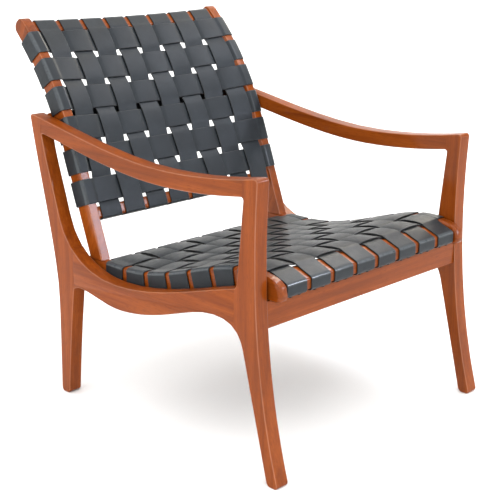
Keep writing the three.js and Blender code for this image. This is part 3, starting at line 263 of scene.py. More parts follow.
def lacquered_mahogany(name, grain, colours):
    """Planed, sanded and sprayed with semi-gloss lacquer: long straight grain seen through a clear film,
    with soft bands, fine dark pores and a broad highlight, and a painted highlight that makes the arrises
    paler."""
    material, tree, place = new_material(name)
    piece = add_node(tree, "ShaderNodeObjectInfo", {}).outputs["Random"]
    apart = add_node(tree, "ShaderNodeVectorMath", {"operation": "MULTIPLY_ADD", 1: PIECE_SPREAD},
                     {0: piece, 2: place})
    turned = add_node(tree, "ShaderNodeMapping", {"Rotation": grain}, {"Vector": apart})

    def figure(width, run, detail, distortion):
        stretched = add_node(tree, "ShaderNodeMapping", {"Scale": (1 / width, 1 / width, 1 / run)},
                             {"Vector": turned})
        return add_node(tree, "ShaderNodeTexNoise",
                        {"Scale": 1.0, "Detail": detail, "Roughness": 0.55, "Distortion": distortion},
                        {"Vector": stretched})

    bands = figure(BAND_WIDTH, BAND_LENGTH, detail=2.0, distortion=0.35)
    fibres = figure(FIBRE_WIDTH, FIBRE_LENGTH, detail=3.0, distortion=0.1)
    pores = figure(PORE_WIDTH, PORE_LENGTH, detail=1.0, distortion=0.0)
    tones = figure(TONE_SIZE, TONE_SIZE, detail=2.0, distortion=0.0)
    rings = add_node(tree, "ShaderNodeMath", {"operation": "MULTIPLY", 1: RINGS_IN_BAND}, {0: bands})
    folded = add_node(tree, "ShaderNodeMath", {"operation": "PINGPONG", 1: 1.0}, {0: rings})
    streaks = add_node(tree, "ShaderNodeMixRGB", {"Fac": FIBRE_SHARE}, {"Color1": folded, "Color2": fibres})
    shaded = add_node(tree, "ShaderNodeMixRGB", {"Fac": TONE_SHARE}, {"Color1": streaks, "Color2": tones})
    growth = (colours.wood_dark, colours.wood_middle, colours.wood_light)
    grown = add_node(tree, "ShaderNodeValToRGB", {"stops": list(zip(WOOD_LEVELS, growth))}, {"Fac": shaded})
    open_pores = add_node(tree, "ShaderNodeMapRange",
                          {"From Min": PORE_LEVELS[0], "From Max": PORE_LEVELS[1], "To Max": PORE_DARKNESS},
                          {"Value": pores})
    porous = add_node(tree, "ShaderNodeMixRGB", {"Color2": colours.wood_dark},
                      {"Fac": open_pores, "Color1": grown})
    # Painted highlight: the arrises are mixed towards a pale tone, broken up by the broad tone, as a lit edge
    # would look
    arris = add_node(tree, "ShaderNodeAttribute", {"attribute_name": "arris"}).outputs["Fac"]
    rubbed = add_node(tree, "ShaderNodeMath", {"operation": "MULTIPLY"}, {0: arris, 1: tones})
    worn = add_node(tree, "ShaderNodeMixRGB", {"Color2": colours.wood_arris_highlight},
                    {"Fac": rubbed, "Color1": porous})
    gloss = add_node(tree, "ShaderNodeMapRange", {"To Min": WOOD_ROUGHNESS[0], "To Max": WOOD_ROUGHNESS[1]},
                     {"Value": fibres})
    relief = add_node(tree, "ShaderNodeBump", {"Strength": 0.12, "Distance": PORE_DEPTH, "invert": True},
                      {"Height": open_pores})
    shader = add_node(tree, "ShaderNodeBsdfPrincipled",
                      {"Specular IOR Level": 0.04, "Coat Weight": 0.3, "Coat Roughness": 0.1,
                       "Coat IOR": 1.5},
                      {"Base Color": worn, "Roughness": gloss, "Normal": relief})
    return close_material(material, shader)


# Leather: the pebbled grain is about 0.8 mm and is drawn at 2.4 mm so that it shows
LEATHER_GRAIN = 2.4 * MM
LEATHER_GRAIN_DEPTH = 0.25 * MM
LEATHER_MOTTLE = 55 * MM
LEATHER_SCUFF = 9 * MM
# Levels of the cloudy dye, and the shares of its main tone at the darkest and the palest
DYE_LEVELS = (0.3, 0.6, 0.85)
DYE_DARK = 0.75
DYE_PALE = 1.35
# Levels between which it is scuffed, and its roughness at each
SCUFF_LEVELS = (0.3, 0.7)
SCUFF_ROUGHNESS = (0.36, 0.5)
# Where it is pulled round an edge: by how much its roughness falls, and how soon its film of wax shows
PULL_POLISH = -0.2
PULL_WAX = 1.1
SHEEN_TINT = "#f4ead6"


def bridle_leather(name, colours):
    """Vegetable tanned, drum dyed charcoal and waxed: a close pebbled grain with a soft sheen, slightly
    cloudy dye, and a glossier line where it is pulled hard round an edge, paler from pull and painted
    highlight."""
    material, tree, place = new_material(name)
    cloud = add_node(tree, "ShaderNodeTexNoise",
                     {"Scale": 1 / LEATHER_MOTTLE, "Detail": 4.0, "Roughness": 0.6}, {"Vector": place})
    scuffs = add_node(tree, "ShaderNodeTexNoise",
                      {"Scale": 1 / LEATHER_SCUFF, "Detail": 5.0, "Roughness": 0.7, "Distortion": 0.6},
                      {"Vector": place})
    pebbles = add_node(tree, "ShaderNodeTexVoronoi", {"Scale": 1 / LEATHER_GRAIN}, {"Vector": place})
    dye = [shade(colours.leather_middle, share) for share in (DYE_DARK, 1, DYE_PALE)]
    dyed = add_node(tree, "ShaderNodeValToRGB", {"stops": list(zip(DYE_LEVELS, dye))}, {"Fac": cloud})
    pull = add_node(tree, "ShaderNodeAttribute", {"attribute_name": "pull"}).outputs["Fac"]
    # Painted highlight, partly real pull-up paling: the folds are mixed towards the paler tone
    worn = add_node(tree, "ShaderNodeMath", {"operation": "MULTIPLY"}, {0: pull, 1: scuffs})
    pulled = add_node(tree, "ShaderNodeMixRGB", {"Color2": colours.leather_pull_highlight},
                      {"Fac": worn, "Color1": dyed})
    scuffed = add_node(tree, "ShaderNodeMapRange",
                       {"From Min": SCUFF_LEVELS[0], "From Max": SCUFF_LEVELS[1],
                        "To Min": SCUFF_ROUGHNESS[0], "To Max": SCUFF_ROUGHNESS[1]}, {"Value": scuffs})
    polished = add_node(tree, "ShaderNodeMath", {"operation": "MULTIPLY_ADD", 1: PULL_POLISH},
                        {0: pull, 2: scuffed})
    grain = add_node(tree, "ShaderNodeBump", {"Strength": 0.18, "Distance": LEATHER_GRAIN_DEPTH},
                     {"Height": pebbles})
    wax = add_node(tree, "ShaderNodeMath", {"operation": "MULTIPLY", 1: PULL_WAX, "use_clamp": True},
                   {0: pull})
    shader = add_node(tree, "ShaderNodeBsdfPrincipled",
                      {"Specular IOR Level": 0.18, "Sheen Weight": 0.07, "Sheen Roughness": 0.4,
                       "Sheen Tint": linear(SHEEN_TINT), "Coat Roughness": 0.1, "Coat IOR": 1.5},
                      {"Base Color": pulled, "Roughness": polished, "Normal": grain, "Coat Weight": wax})
    return close_material(material, shader)


# Levels between which a fibre of the cut edge shows through the dye, how much paler it is, and its relief
EDGE_LEVELS = (0.35, 0.8)
EDGE_PALE = 2.2
EDGE_RELIEF = 0.2 * MM


def dyed_edge(name, colours):
    """The straps' cut edges, dyed black and rubbed smooth: a dark line with faint fibres."""
    material, tree, place = new_material(name)
    fibres = add_node(tree, "ShaderNodeTexNoise", {"Scale": 1 / LEATHER_GRAIN, "Detail": 3.0},
                      {"Vector": place})
    tones = (colours.leather_edge, shade(colours.leather_edge, EDGE_PALE))
    dye = add_node(tree, "ShaderNodeValToRGB", {"stops": list(zip(EDGE_LEVELS, tones))}, {"Fac": fibres})
    rubbed = add_node(tree, "ShaderNodeBump", {"Strength": 0.2, "Distance": EDGE_RELIEF},
                      {"Height": fibres})
    shader = add_node(tree, "ShaderNodeBsdfPrincipled", {"IOR": 1.48, "Roughness": 0.5},
                      {"Base Color": dye, "Normal": rubbed})
    return close_material(material, shader)


# Machining marks and oxide patches on the small steel parts, drawn at about a millimetre
STEEL_MARK = 1.2 * MM
OXIDE_LEVELS = (0.35, 0.65)
OXIDE_DARK = 0.6
# How far the marks make the steel smoother and rougher, and how rough each of its parts is
MARK_SMOOTHER = 0.1
MARK_ROUGHER = 0.15
BOLT_ROUGHNESS = 0.35
TACK_ROUGHNESS = 0.45


def plain_steel(name, tone, roughness):
    """Cold-headed steel: a grey metal with fine random marks that break up its highlights."""
    material, tree, place = new_material(name)
    marks = add_node(tree, "ShaderNodeTexNoise", {"Scale": 1 / STEEL_MARK, "Detail": 4.0}, {"Vector": place})
    worn = add_node(tree, "ShaderNodeMapRange",
                    {"To Min": roughness - MARK_SMOOTHER, "To Max": roughness + MARK_ROUGHER},
                    {"Value": marks})
    tones = (shade(tone, OXIDE_DARK), tone)
    oxide = add_node(tree, "ShaderNodeValToRGB", {"stops": list(zip(OXIDE_LEVELS, tones))}, {"Fac": marks})
    shader = add_node(tree, "ShaderNodeBsdfPrincipled", {"Metallic": 1.0},
                      {"Base Color": oxide, "Roughness": worn})
    return close_material(material, shader)


# The roller's stipple is a few millimetres wide and is drawn coarser so that it shows
ROLLER_STIPPLE = 25 * MM
ROLLER_RELIEF = 0.2 * MM


def painted_floor(name, tone):
    """Matt paint rolled on a studio floor: nearly white with the faintest stipple."""
    material, tree, place = new_material(name)
    roller = add_node(tree, "ShaderNodeTexNoise", {"Scale": 1 / ROLLER_STIPPLE, "Detail": 2.0},
                      {"Vector": place})
    relief = add_node(tree, "ShaderNodeBump", {"Strength": 0.02, "Distance": ROLLER_RELIEF},
                      {"Height": roller})
    shader = add_node(tree, "ShaderNodeBsdfPrincipled", {"Base Color": tone, "Roughness": 0.9},
                      {"Normal": relief})
    return close_material(material, shader)


# Steps in which each curve of the seat line is drawn, and those of the whole line that give its slope
CURVE_STEPS = 300
SLOPE_STEPS = 400


def travel_along(points):
    """How far along a line each of its points lies."""
    steps = np.linalg.norm(np.diff(points, axis=0), axis=1)
    return np.concatenate([[0], np.cumsum(steps)])


def at_travel(travel, run, points):
    """The two coordinates of a line's point at a travel along it."""
    return [np.interp(travel, run, points[:, k]) for k in (0, 1)]


def seat_curve():
    """The seat line as points (y, z), from the nose to the rear end."""
    def bezier(*ends_and_handles):
        t = np.linspace(0, 1, CURVE_STEPS + 1)[:, None]
        a, b, c, d = (np.array(point) for point in ends_and_handles)
        return (1 - t) ** 3 * a + 3 * (1 - t) ** 2 * t * b + 3 * (1 - t) * t ** 2 * c + t ** 3 * d

    nose = (SEAT_NOSE, SEAT_CREST - SEAT_RAIL_DEPTH + SEAT_NOSE_TIP_LIFT)
    crest = (SEAT_NOSE + SEAT_CREST_SETBACK, SEAT_CREST)
    hollow = (SEAT_REAR - SEAT_FLAT_LENGTH, SEAT_HOLLOW)
    front = bezier(nose, (nose[0], nose[1] + SEAT_NOSE_RISE), (crest[0] - SEAT_NOSE_HANDLE, crest[1]), crest)
    dip = bezier(crest, (crest[0] + SEAT_CREST_HANDLE, crest[1]),
                 (hollow[0] - SEAT_HOLLOW_HANDLE, hollow[1]), hollow)
    return np.concatenate([front, dip[1:], [(SEAT_REAR, SEAT_HOLLOW)]])


SEAT_POINTS = seat_curve()
SEAT_TRAVEL = travel_along(SEAT_POINTS)


def seat_point(travel, height):
    """(y, z) at a travel along the seat line and a height square to it."""
    reach = SEAT_TRAVEL[-1] / SLOPE_STEPS
    spots = (travel, np.minimum(travel + reach, SEAT_TRAVEL[-1]), np.maximum(travel - reach, 0))
    (y, z), ahead, behind = (at_travel(spot, SEAT_TRAVEL, SEAT_POINTS) for spot in spots)
    dy, dz = ahead[0] - behind[0], ahead[1] - behind[1]
    size = np.hypot(dy, dz)
    return y - dz / size * height, z + dy / size * height


def seat_travel(y):
    """Travel along the seat line at which it passes a place."""
    return float(np.interp(y, SEAT_POINTS[:, 0], SEAT_TRAVEL))


def crown(x):
    """A bow across the chair: one on its middle line and nothing at the rails."""
    return np.maximum(0, 1 - (x / RAIL_INNER) ** 2)


def seat_drop(x, y):
    """How far the straps, pulled tight from bar to bar, run straighter than the rails' curve."""
    front, rear = FRONT_BAR_TOP_REAR, rear_bar_low.y
    place = np.clip(y, front, rear)
    curve, first, last = (np.interp(at, SEAT_POINTS[:, 0], SEAT_POINTS[:, 1]) for at in (place, front, rear))
    straight = first + (last - first) * (place - front) / (rear - front)
    return SEAT_STRAIGHTENING * crown(x) * (curve - straight)


def back_point(travel, depth):
    """(y, z) at a travel up the stiles' front edge and a depth behind it."""
    run = np.minimum(travel, BACK_STRAIGHT)
    angle = BACK_TILT + (travel - run) / BACK_RADIUS
    back = BACK_RADIUS * (math.cos(BACK_TILT) - np.cos(angle))
    up = BACK_RADIUS * (np.sin(angle) - math.sin(BACK_TILT))
    y = rear_bar_high.y - BACK_FOOT_OVERLAP + run * math.sin(BACK_TILT) + back + depth * np.cos(angle)
    z = SEAT_HOLLOW + run * math.cos(BACK_TILT) + up - depth * np.sin(angle)
    return y, z


def back_bow(x, travel):
    """How far the back bends rearward across the chair: its top rail's bow, and the straps' belly, which is
    greatest halfway up."""
    rise = np.clip((travel - BOTTOM_RAIL_TOP) / (TOP_RAIL_LOW - BOTTOM_RAIL_TOP), 0, 1)
    return crown(x) * (TOP_RAIL_BOW * rise + BACK_BELLY * 4 * rise * (1 - rise))


def back_cross_place(x, travel, depth):
    """A point of a strap across the back, by its places along, across and off the strap's middle."""
    return x, *back_point(travel, depth + back_bow(x, travel))


def back_upright_place(travel, x, depth):
    """The same for a strap that runs up the back."""
    return x, *back_point(travel, depth + back_bow(x, travel))


def facing_place(x, travel, depth):
    """The same for the facing of the support rail, a black strip of painted shade, which is straight."""
    return x, *back_point(travel, depth)


def seat_cross_place(x, travel, height):
    """The same for a strap across the seat."""
    y, z = seat_point(travel, height)
    return x, y, z - seat_drop(x, y)


def seat_long_place(y, x, z):
    """The same for a strap that runs from the seat's front to its rear."""
    return x, y, z - seat_drop(x, y)


def spaced(start, end, count, width):
    """Middle lines of a number of straps spread evenly between two places."""
    return np.linspace(start + width / 2, end - width / 2, count)


def over(i, j):
    """The side of strap i that cross strap j passes on: plus one for the greater height or depth."""
    return 1 if (i + j) % 2 == 0 else -1


class Weave:
    """Where the straps lie: the lines and folds of the CAD source, with a slight bulge at each crossing."""

    def __init__(self, sizes):
        self.width = sizes.strap_width
        self.half = sizes.strap_width / 2
        self.offset = STRAP_LAY + sizes.strap_thickness / 2
        self.lift = (sizes.strap_thickness + STRAP_GAP) / 2
        self.depth = BACK_RAIL_SETBACK - self.offset
        seat_side, back_side = RAIL_INNER - SEAT_SIDE_MARGIN, RAIL_INNER - BACK_SIDE_MARGIN
        self.seat_long = spaced(-seat_side, seat_side, SEAT_LONG_STRAPS, self.width)
        self.back_upright = spaced(-back_side, back_side, BACK_UPRIGHT_STRAPS, self.width)
        self.seat_cross = spaced(seat_travel(front_rail_high.y + SEAT_WEAVE_FRONT_MARGIN),
                                 seat_travel(rear_bar_low.y - SEAT_WEAVE_REAR_MARGIN),
                                 SEAT_CROSS_STRAPS, self.width)
        self.back_cross = spaced(BACK_WEAVE_START, BACK_WEAVE_TOP, BACK_CROSS_STRAPS, self.width)

    def fold(self, edge, outward, near, far, leave):
        """A strap end round a bar, from its free end on the far face to the near face."""
        rim = edge + outward * self.offset
        cut = self.offset + STRAP_CORNER_CUT
        turn = math.copysign(1, near - far)
        return [(edge - outward * STRAP_RETURN, far), (rim, far), (rim, near - turn * cut),
                (rim - outward * cut, near), (leave, near)]

    def crossings(self, lines):
        """Edges of the straps that a crossing strap passes; it clears the outermost two."""
        edges = [[line - self.half, line + self.half] for line in lines]
        edges[0][0] -= STRAP_CORNER_CUT
        edges[-1][1] += STRAP_CORNER_CUT
        return edges

    def bulges(self, low, high, level, side, face, bulge):
        """Stations of a strap on one side of a strap that it crosses. Between that one's edges it bulges, by
        its full measure on the weave's outer face, and by less on the other."""
        size = bulge if side == face else UNDER_BULGE
        shape = 1 - np.linspace(-1, 1, BULGE_STATIONS) ** 2
        return zip(np.linspace(low, high, BULGE_STATIONS), level + side * (self.lift + size * shape))

    def sideways(self, lines, j, level, face, near, far, bulge):
        """Path of a strap that runs across the chair and folds round the rails or stiles."""
        ends = [self.fold(side * RAIL_OUTER, side, near, far, side * (RAIL_INNER + STRAP_CORNER_CUT))
                for side in (-1, 1)]
        woven = [spot for i, (low, high) in enumerate(self.crossings(lines))
                 for spot in self.bulges(low, high, level, over(i, j), face, bulge)]
        return [*ends[0], *woven, *reversed(ends[1])]

    def seat_cross_path(self, j):
        """Path of the seat's cross strap j, as (x, height)."""
        return self.sideways(self.seat_long, j, 0, 1, self.offset, -SEAT_RAIL_DEPTH - self.offset, SEAT_BULGE)

    def back_cross_path(self, j):
        """Path of the back's cross strap j, counted from the top, as (x, depth)."""
        return self.sideways(self.back_upright, j, self.depth, -1, -self.offset, STILE_DEPTH + self.offset,
                             BACK_BULGE)

    def seat_long_path(self, i):
        """Path of the seat's long strap i, as (y, z), from under the front bar to under the rear bar."""
        front, low = front_bar_low.y, front_bar_low.z
        crease = np.array((front, SEAT_CREST - FRONT_BAR_CREASE_DROP))
        top = np.array((FRONT_BAR_TOP_REAR, SEAT_CREST - FRONT_BAR_TOP_DROP))
        slope = (top - crease) / np.linalg.norm(top - crease)
        lift = np.array((-slope[1], slope[0])) * self.offset
        start = [(front_rail_low.y - SEAT_WEAVE_FRONT_MARGIN, low - self.offset),
                 (front + STRAP_CORNER_CUT, low - self.offset),
                 (front - self.offset, low + STRAP_CORNER_CUT),
                 (front - self.offset, crease[1] - STRAP_LAY),
                 tuple(crease + slope * STRAP_CORNER_CUT + lift), tuple(top + lift)]
        woven = [seat_point(travel, height) for j, line in enumerate(self.seat_cross)
                 for travel, height in self.bulges(line - self.half, line + self.half, 0, -over(i, j), 1,
                                                   SEAT_BULGE)]
        end = self.fold(rear_bar_high.y, 1, rear_bar_high.z + self.offset, rear_bar_low.z - self.offset,
                        rear_bar_low.y + STRAP_CORNER_CUT)
        return [*start, *woven, *reversed(end)]

    def back_upright_path(self, i):
        """Path of the back's upright strap i, as (travel, depth), from the bottom rail to the top rail."""
        far = BACK_RAIL_SETBACK + BACK_RAIL_THICKNESS + self.offset
        low = self.fold(BOTTOM_RAIL_LOW, -1, self.depth, far, BOTTOM_RAIL_TOP - STRAP_CORNER_CUT)
        top = self.fold(TOP_RAIL_TOP, 1, self.depth, far, TOP_RAIL_LOW + STRAP_CORNER_CUT)
        last = BACK_CROSS_STRAPS - 1
        woven = [spot for k, line in enumerate(self.back_cross)
                 for spot in self.bulges(line - self.half, line + self.half, self.depth, -over(i, last - k),
                                         -1, BACK_BULGE)]
        return [*low, *woven, *reversed(top)]


# Folds tighter than the first radius begin to pale, from the pull and a painted highlight, and those
# of the second are fully pulled
PULL_START = 1 / (14 * MM)
PULL_FULL = 1 / (5 * MM)
# Change of the pull at which a strap gets another station
PULL_STEP = 0.15
# The last fold of a strap is turned under its rail or bar, where nothing rubs it; its pull and painted
# highlight are left off there
TURNED_UNDER = 26 * MM


def softened(path):
    """The smooth line that leather takes along a path of corners: its stations, the way square to each, how
    far the leather is pulled and rubbed there, which also sets its painted highlight, and the line's length."""
    corners = np.array(path)
    run = travel_along(corners)
    count = int(run[-1] / PATH_STEP)
    places = np.linspace(0, run[-1], count)
    line = np.stack(at_travel(places, run, corners), 1)
    for _ in range(PATH_SMOOTHING):
        line[1:-1] = (line[:-2] + 2 * line[1:-1] + line[2:]) / 4
    along = np.gradient(line, axis=0)
    heading = np.unwrap(np.arctan2(along[:, 1], along[:, 0]))
    steps = np.concatenate([[0], np.linalg.norm(np.diff(line, axis=0), axis=1)])
    turning = np.abs(np.gradient(heading)) / PATH_STEP
    pull = np.clip((turning - PULL_START) / (PULL_FULL - PULL_START), 0, 1)
    kept, turned, gone = [0], 0.0, 0.0
    for k in range(1, count):
        turned += abs(heading[k] - heading[k - 1])
        gone += steps[k]
        starts = k + 1 < count and abs(pull[k + 1] - pull[kept[-1]]) > PULL_STEP
        if turned > STATION_TURN or gone > STATION_STEP or starts or k == count - 1:
            kept.append(k)
            turned, gone = 0.0, 0.0
    square = np.stack([-np.sin(heading), np.cos(heading)], 1)
    from_end = np.minimum(places, places[-1] - places)
    rubbed = np.where(from_end > TURNED_UNDER, pull, 0.0)
    return line[kept], square[kept], rubbed[kept], float(steps.sum())


def strap_section(width, thickness, edge):
    """Outline of a strap's section as (across, off the middle), rounded along the cut edges."""
    half, thick = width / 2, thickness / 2
    flat = half - edge - EDGE_SUPPORT
    face = [edge - half, *np.linspace(-flat, flat, ACROSS_SEGMENTS - 1), half - edge]
    upper = [(a, thick) for a in face]
    rim = [(half, thick - edge), (half, edge - thick)]
    lower = [(a, -thick) for a in reversed(face)]
    return np.array([*upper, *rim, *lower, *[(-a, -n) for a, n in rim]])


def add_object(name, data):
    """Puts a new object in the scene."""
    made = bpy.data.objects.new(name, data)
    bpy.context.scene.collection.objects.link(made)
    return made


def add_piece(name, mesh):
    """Puts a mesh in the scene as a piece of the chair's one body."""
    piece = add_object(name, mesh)
    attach(piece, "root")
    return piece


def ring_faces(start, rings, size):
    """Quads between rings of points, which are numbered from a start."""
    faces = []
    for row in range(start, start + (rings - 1) * size, size):
        for k in range(size):
            a, b = row + k, row + (k + 1) % size
            faces.append((a, b, b + size, a + size))
    return faces


def make_strap(name, path, line, place, outer, width, sizes, materials):
    """A strap as one closed piece lofted along its path, its length, and where its ends are tacked down."""
    stations, square, amount, long = softened(path)
    section = strap_section(width, sizes.strap_thickness, sizes.strap_edge)
    off = section[None, :, 1:] - outer * sizes.strap_crown * (2 * section[None, :, :1] / width) ** 2
    spots = stations[:, None, :] + square[:, None, :] * off
    across = line + np.broadcast_to(section[None, :, 0], spots.shape[:2])
    points = np.stack(np.broadcast_arrays(*place(spots[..., 0], across, spots[..., 1])), -1)
    rings, size = points.shape[:2]
    quads = ring_faces(0, rings, size)
    last = (rings - 1) * size
    caps = [tuple(reversed(range(size))), tuple(range(last, last + size))]
    mesh = bpy.data.meshes.new(name)
    mesh.from_pydata(points.reshape(-1, 3).tolist(), [], [*quads, *caps])
    if volume_of(points) < 0:
        mesh.flip_normals()
    # The pull sets the leather's polish, its wax and its paler tone, which is partly a painted highlight
    pull = mesh.attributes.new("pull", "FLOAT", "POINT")
    pull.data.foreach_set("value", np.repeat(amount, size).astype(np.float32))
    # The cut edges and the ends take the second material
    rims = set(range(ACROSS_SEGMENTS, ACROSS_SEGMENTS + EDGE_SEGMENTS))
    rims |= {k + ACROSS_SEGMENTS + EDGE_SEGMENTS for k in rims}
    slots = [1 if k % size in rims else 0 for k in range(len(quads))] + [1, 1]
    mesh.polygons.foreach_set("material_index", slots)
    mesh.polygons.foreach_set("use_smooth", [True] * len(quads) + [False, False])
    mesh.update()
    mesh.validate()
    for material in materials:
        mesh.materials.append(material)
    piece = add_piece(name, mesh)
    ends = [tack_seats(stations, square, line, place, outer, sizes, step) for step in (1, -1)]
    return piece, long, [seat for end in ends for seat in end]


def volume_of(points):
    """Signed volume between the rings, to know which way the faces look."""
    a, b = points[:-1], points[1:]
    c, d = np.roll(a, -1, axis=1), np.roll(b, -1, axis=1)
    return float((np.cross(a, c) * d).sum() + (np.cross(a, d) * b).sum())


TACK_FROM_END = 9 * MM
# Rings of a tack's dome, as shares of its radius and of its height
TACK_RINGS = ((1.0, 0.0), (1.0, 0.18), (0.86, 0.55), (0.6, 0.83), (0.3, 0.96))
TACK_SIDES = 14


def tack_seats(stations, square, line, place, outer, sizes, step):
    """Points and outward directions of the two tacks at one end of a strap."""
    order = stations[::step]
    run = travel_along(order)
    spot = at_travel(TACK_FROM_END, run, order)
    up = at_travel(TACK_FROM_END, run, square[::step])

    def at(side, off):
        along, away = (np.array(s + u * off) for s, u in zip(spot, up))
        return Vector([float(c) for c in place(along, np.array(line + side), away)])

    seats = []
    for side in (-sizes.tack_spread, sizes.tack_spread):
        low = at(side, outer * sizes.strap_thickness / 2)
        high = at(side, outer * sizes.strap_thickness)
        seats.append((low, (high - low).normalized()))
    return seats


def make_tacks(name, seats, sizes, material):
    """Domed tack heads in one mesh, each standing on a strap end."""
    points, faces = [], []
    for low, out in seats:
        turn = out.to_track_quat("Z", "Y")
        start = len(points)
        for wide, high in TACK_RINGS:
            for k in range(TACK_SIDES):
                angle = 2 * math.pi * k / TACK_SIDES
                local = Vector((wide * math.cos(angle) * sizes.tack_diameter / 2,
                                wide * math.sin(angle) * sizes.tack_diameter / 2, high * sizes.tack_height))
                points.append(low + turn @ local)
        points.append(low + turn @ Vector((0, 0, sizes.tack_height)))
        tip = len(points) - 1
        faces.extend(ring_faces(start, len(TACK_RINGS), TACK_SIDES))
        rim = start + (len(TACK_RINGS) - 1) * TACK_SIDES
        faces.extend((rim + k, rim + (k + 1) % TACK_SIDES, tip) for k in range(TACK_SIDES))
        faces.append(tuple(start + k for k in reversed(range(TACK_SIDES))))
    mesh = bpy.data.meshes.new(name)
    mesh.from_pydata([tuple(p) for p in points], [], faces)
    mesh.polygons.foreach_set("use_smooth", [True] * len(faces))
    mesh.materials.append(material)
    mesh.update()
    add_piece(name, mesh)


def material_named(name, make, *details):
    """The material of a name, which is made when it is first asked for."""
    return bpy.data.materials.get(name) or make(name, *details)


def leather_materials(colours):
    """Materials of a strap's faces and of its cut edges."""
    return [material_named("charcoal_bridle_leather", bridle_leather, colours),
            material_named("black_dyed_leather_edge", dyed_edge, colours)]


def lay_straps(context, group, lines, path_of, place, outer):
    sizes, colours = context.scene.chair_sizes, context.scene.chair_colours
    materials = leather_materials(colours)
    seats = []
    for i, line in enumerate(lines):
        node = f"{group}_{i + 1}"
        piece, long, ends = make_strap(f"{node}_leather", path_of(i), line, place, outer, sizes.strap_width,
                                      sizes, materials)
        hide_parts(node)
        seats.extend(ends)
    tack = material_named("blackened_steel_tacks", plain_steel, colours.tack, TACK_ROUGHNESS)
    make_tacks(f"{group}_tacks", seats, sizes, tack)


# The floor is round and its rim sweeps up into a wall, in metres
FLOOR_REACH = 16.0
COVE_RADIUS = 8.0
COVE_STEPS = 12
COVE_SIDES = 64
WALL_HEIGHT = 11.0
# Soft light from the whole room, and from a wide scrim overhead
ROOM_STRENGTH = 0.25
SCRIM_STRENGTH = 4.8
SCRIM_SPREAD = math.radians(118)
SCRIM_TILT = (math.radians(8), math.radians(-5), 0)
# Lamps aimed at the chair's middle: name, place and size in metres, watts, tone, and whether it lights
# matt surfaces too or only shows as a reflection
LAMP_AIM = Vector((0, 0, 0.45))
LAMPS = (
    ("left_reflector", (-1.2, -0.3, 0.6), 0.9, 1.5, "#ffffff", True),
    ("front_softbox", (-0.2, -2.7, 0.8), 1.6, 6, "#ffffff", True),
    ("right_softbox", (1.42, -2.01, 1.29), 0.55, 24, "#e3ebff", False),
    ("high_card", (2.3, 0.8, 2.0), 1.1, 26, "#fff3df", False),
    ("back_card", (0.78, -0.12, 1.35), 0.35, 3.6, "#eef2ff", True),
)


class CHAIR_OT_stage(bpy.types.Operator):
    """Sets up the camera, the floor and the soft studio light"""
    bl_idname = "chair.stage"
    bl_label = "Set up the stage"

    def execute(self, context):
        scene = context.scene
        lens = bpy.data.cameras.new("photo_camera")
        lens.lens, lens.sensor_width, lens.shift_y = CAMERA_LENS, CAMERA_SENSOR, CAMERA_SHIFT
        camera = add_object("photo_camera", lens)
        camera.location = CAMERA_PLACE
        camera.rotation_euler = (math.pi / 2 - CAMERA_PITCH, 0, -CAMERA_YAW)
        scene.camera = camera
        self.floor(scene)
        self.lights(scene)
        return {"FINISHED"}

    def floor(self, scene):
        """Makes the round floor and its wall as one sheet."""
        sweep = [math.pi / 2 * k / COVE_STEPS for k in range(COVE_STEPS + 1)]
        profile = [(FLOOR_REACH + COVE_RADIUS * math.sin(a), COVE_RADIUS * (1 - math.cos(a))) for a in sweep]
        profile.append((FLOOR_REACH + COVE_RADIUS, WALL_HEIGHT))
        round_about = [2 * math.pi * k / COVE_SIDES for k in range(COVE_SIDES)]
        points = [(r * math.cos(a), r * math.sin(a), z) for r, z in profile for a in round_about]
        walls = ring_faces(0, len(profile), COVE_SIDES)
        mesh = bpy.data.meshes.new("studio_floor")
        mesh.from_pydata(points, [], [tuple(range(COVE_SIDES)), *walls])
        mesh.polygons.foreach_set("use_smooth", [False] + [True] * len(walls))
        mesh.materials.append(painted_floor("matt_painted_floor", scene.chair_colours.floor))
        add_object("studio_floor", mesh)

    def lights(self, scene):
        """Sets the room's light, the scrim and the lamps."""
        world = bpy.data.worlds.new("studio_room")
        world.use_nodes = True
        room = world.node_tree.nodes["Background"]
        room.inputs["Color"].default_value = linear("#ffffff")
        room.inputs["Strength"].default_value = ROOM_STRENGTH
        scene.world = world
        scene.view_settings.view_transform = "Standard"
        overhead = bpy.data.lights.new("overhead_scrim", "SUN")
        overhead.energy, overhead.angle = SCRIM_STRENGTH, SCRIM_SPREAD
        add_object("overhead_scrim", overhead).rotation_euler = SCRIM_TILT
        for name, place, size, power, tone, lights_matt in LAMPS:
            data = bpy.data.lights.new(name, "AREA")
            data.energy, data.size, data.color = power, size, linear(tone)[:3]
            light = add_object(name, data)
            light.location = place
            light.visible_camera = False
            light.visible_diffuse = lights_matt
            light.rotation_euler = (LAMP_AIM - Vector(place)).to_track_quat("-Z", "Y").to_euler()


# Which way each wooden piece's length runs: turns that bring it onto the texture's Z axis
GRAIN_UP = (0.0, 0.0, 0.0)
GRAIN_ALONG = (math.pi / 2, 0.0, 0.0)
GRAIN_ACROSS = (0.0, math.pi / 2, 0.0)
GRAIN_LEANING = (math.radians(-25), 0.0, 0.0)
WOOD_PIECES = {
    "upright": (GRAIN_UP, ["front_leg", "rear_leg"]),
    "lengthwise": (GRAIN_ALONG, ["armrest", "side_rail", "seat_rail"]),
    "leaning": (GRAIN_LEANING, ["back_stile"]),
}
CROSS_PIECES = ["front_rail", "rear_rail", "back_support_rail", "seat_front_bar", "seat_rear_bar",
                "back_bottom_rail", "back_top_rail"]
# Edges that turn by more than this stay crisp, and points nearer than this are one
SHARP_TURN = math.radians(50)
SAME_PLACE = 0.02 * MM
# Finer curves on the sawn planks, whose outlines lie in the chair's long section. A greater turn is a
# corner, a smaller one is flat, and a step this many times its neighbour is the end of a straight.
OUTLINE_PASSES = 2
OUTLINE_CORNER = math.radians(28)
OUTLINE_FLAT = math.radians(1)
LONG_RUN = 3
# The middle of a smooth curve stands off its chord by this share of the turn between its ends
CURVE_RISE = 1 / 8
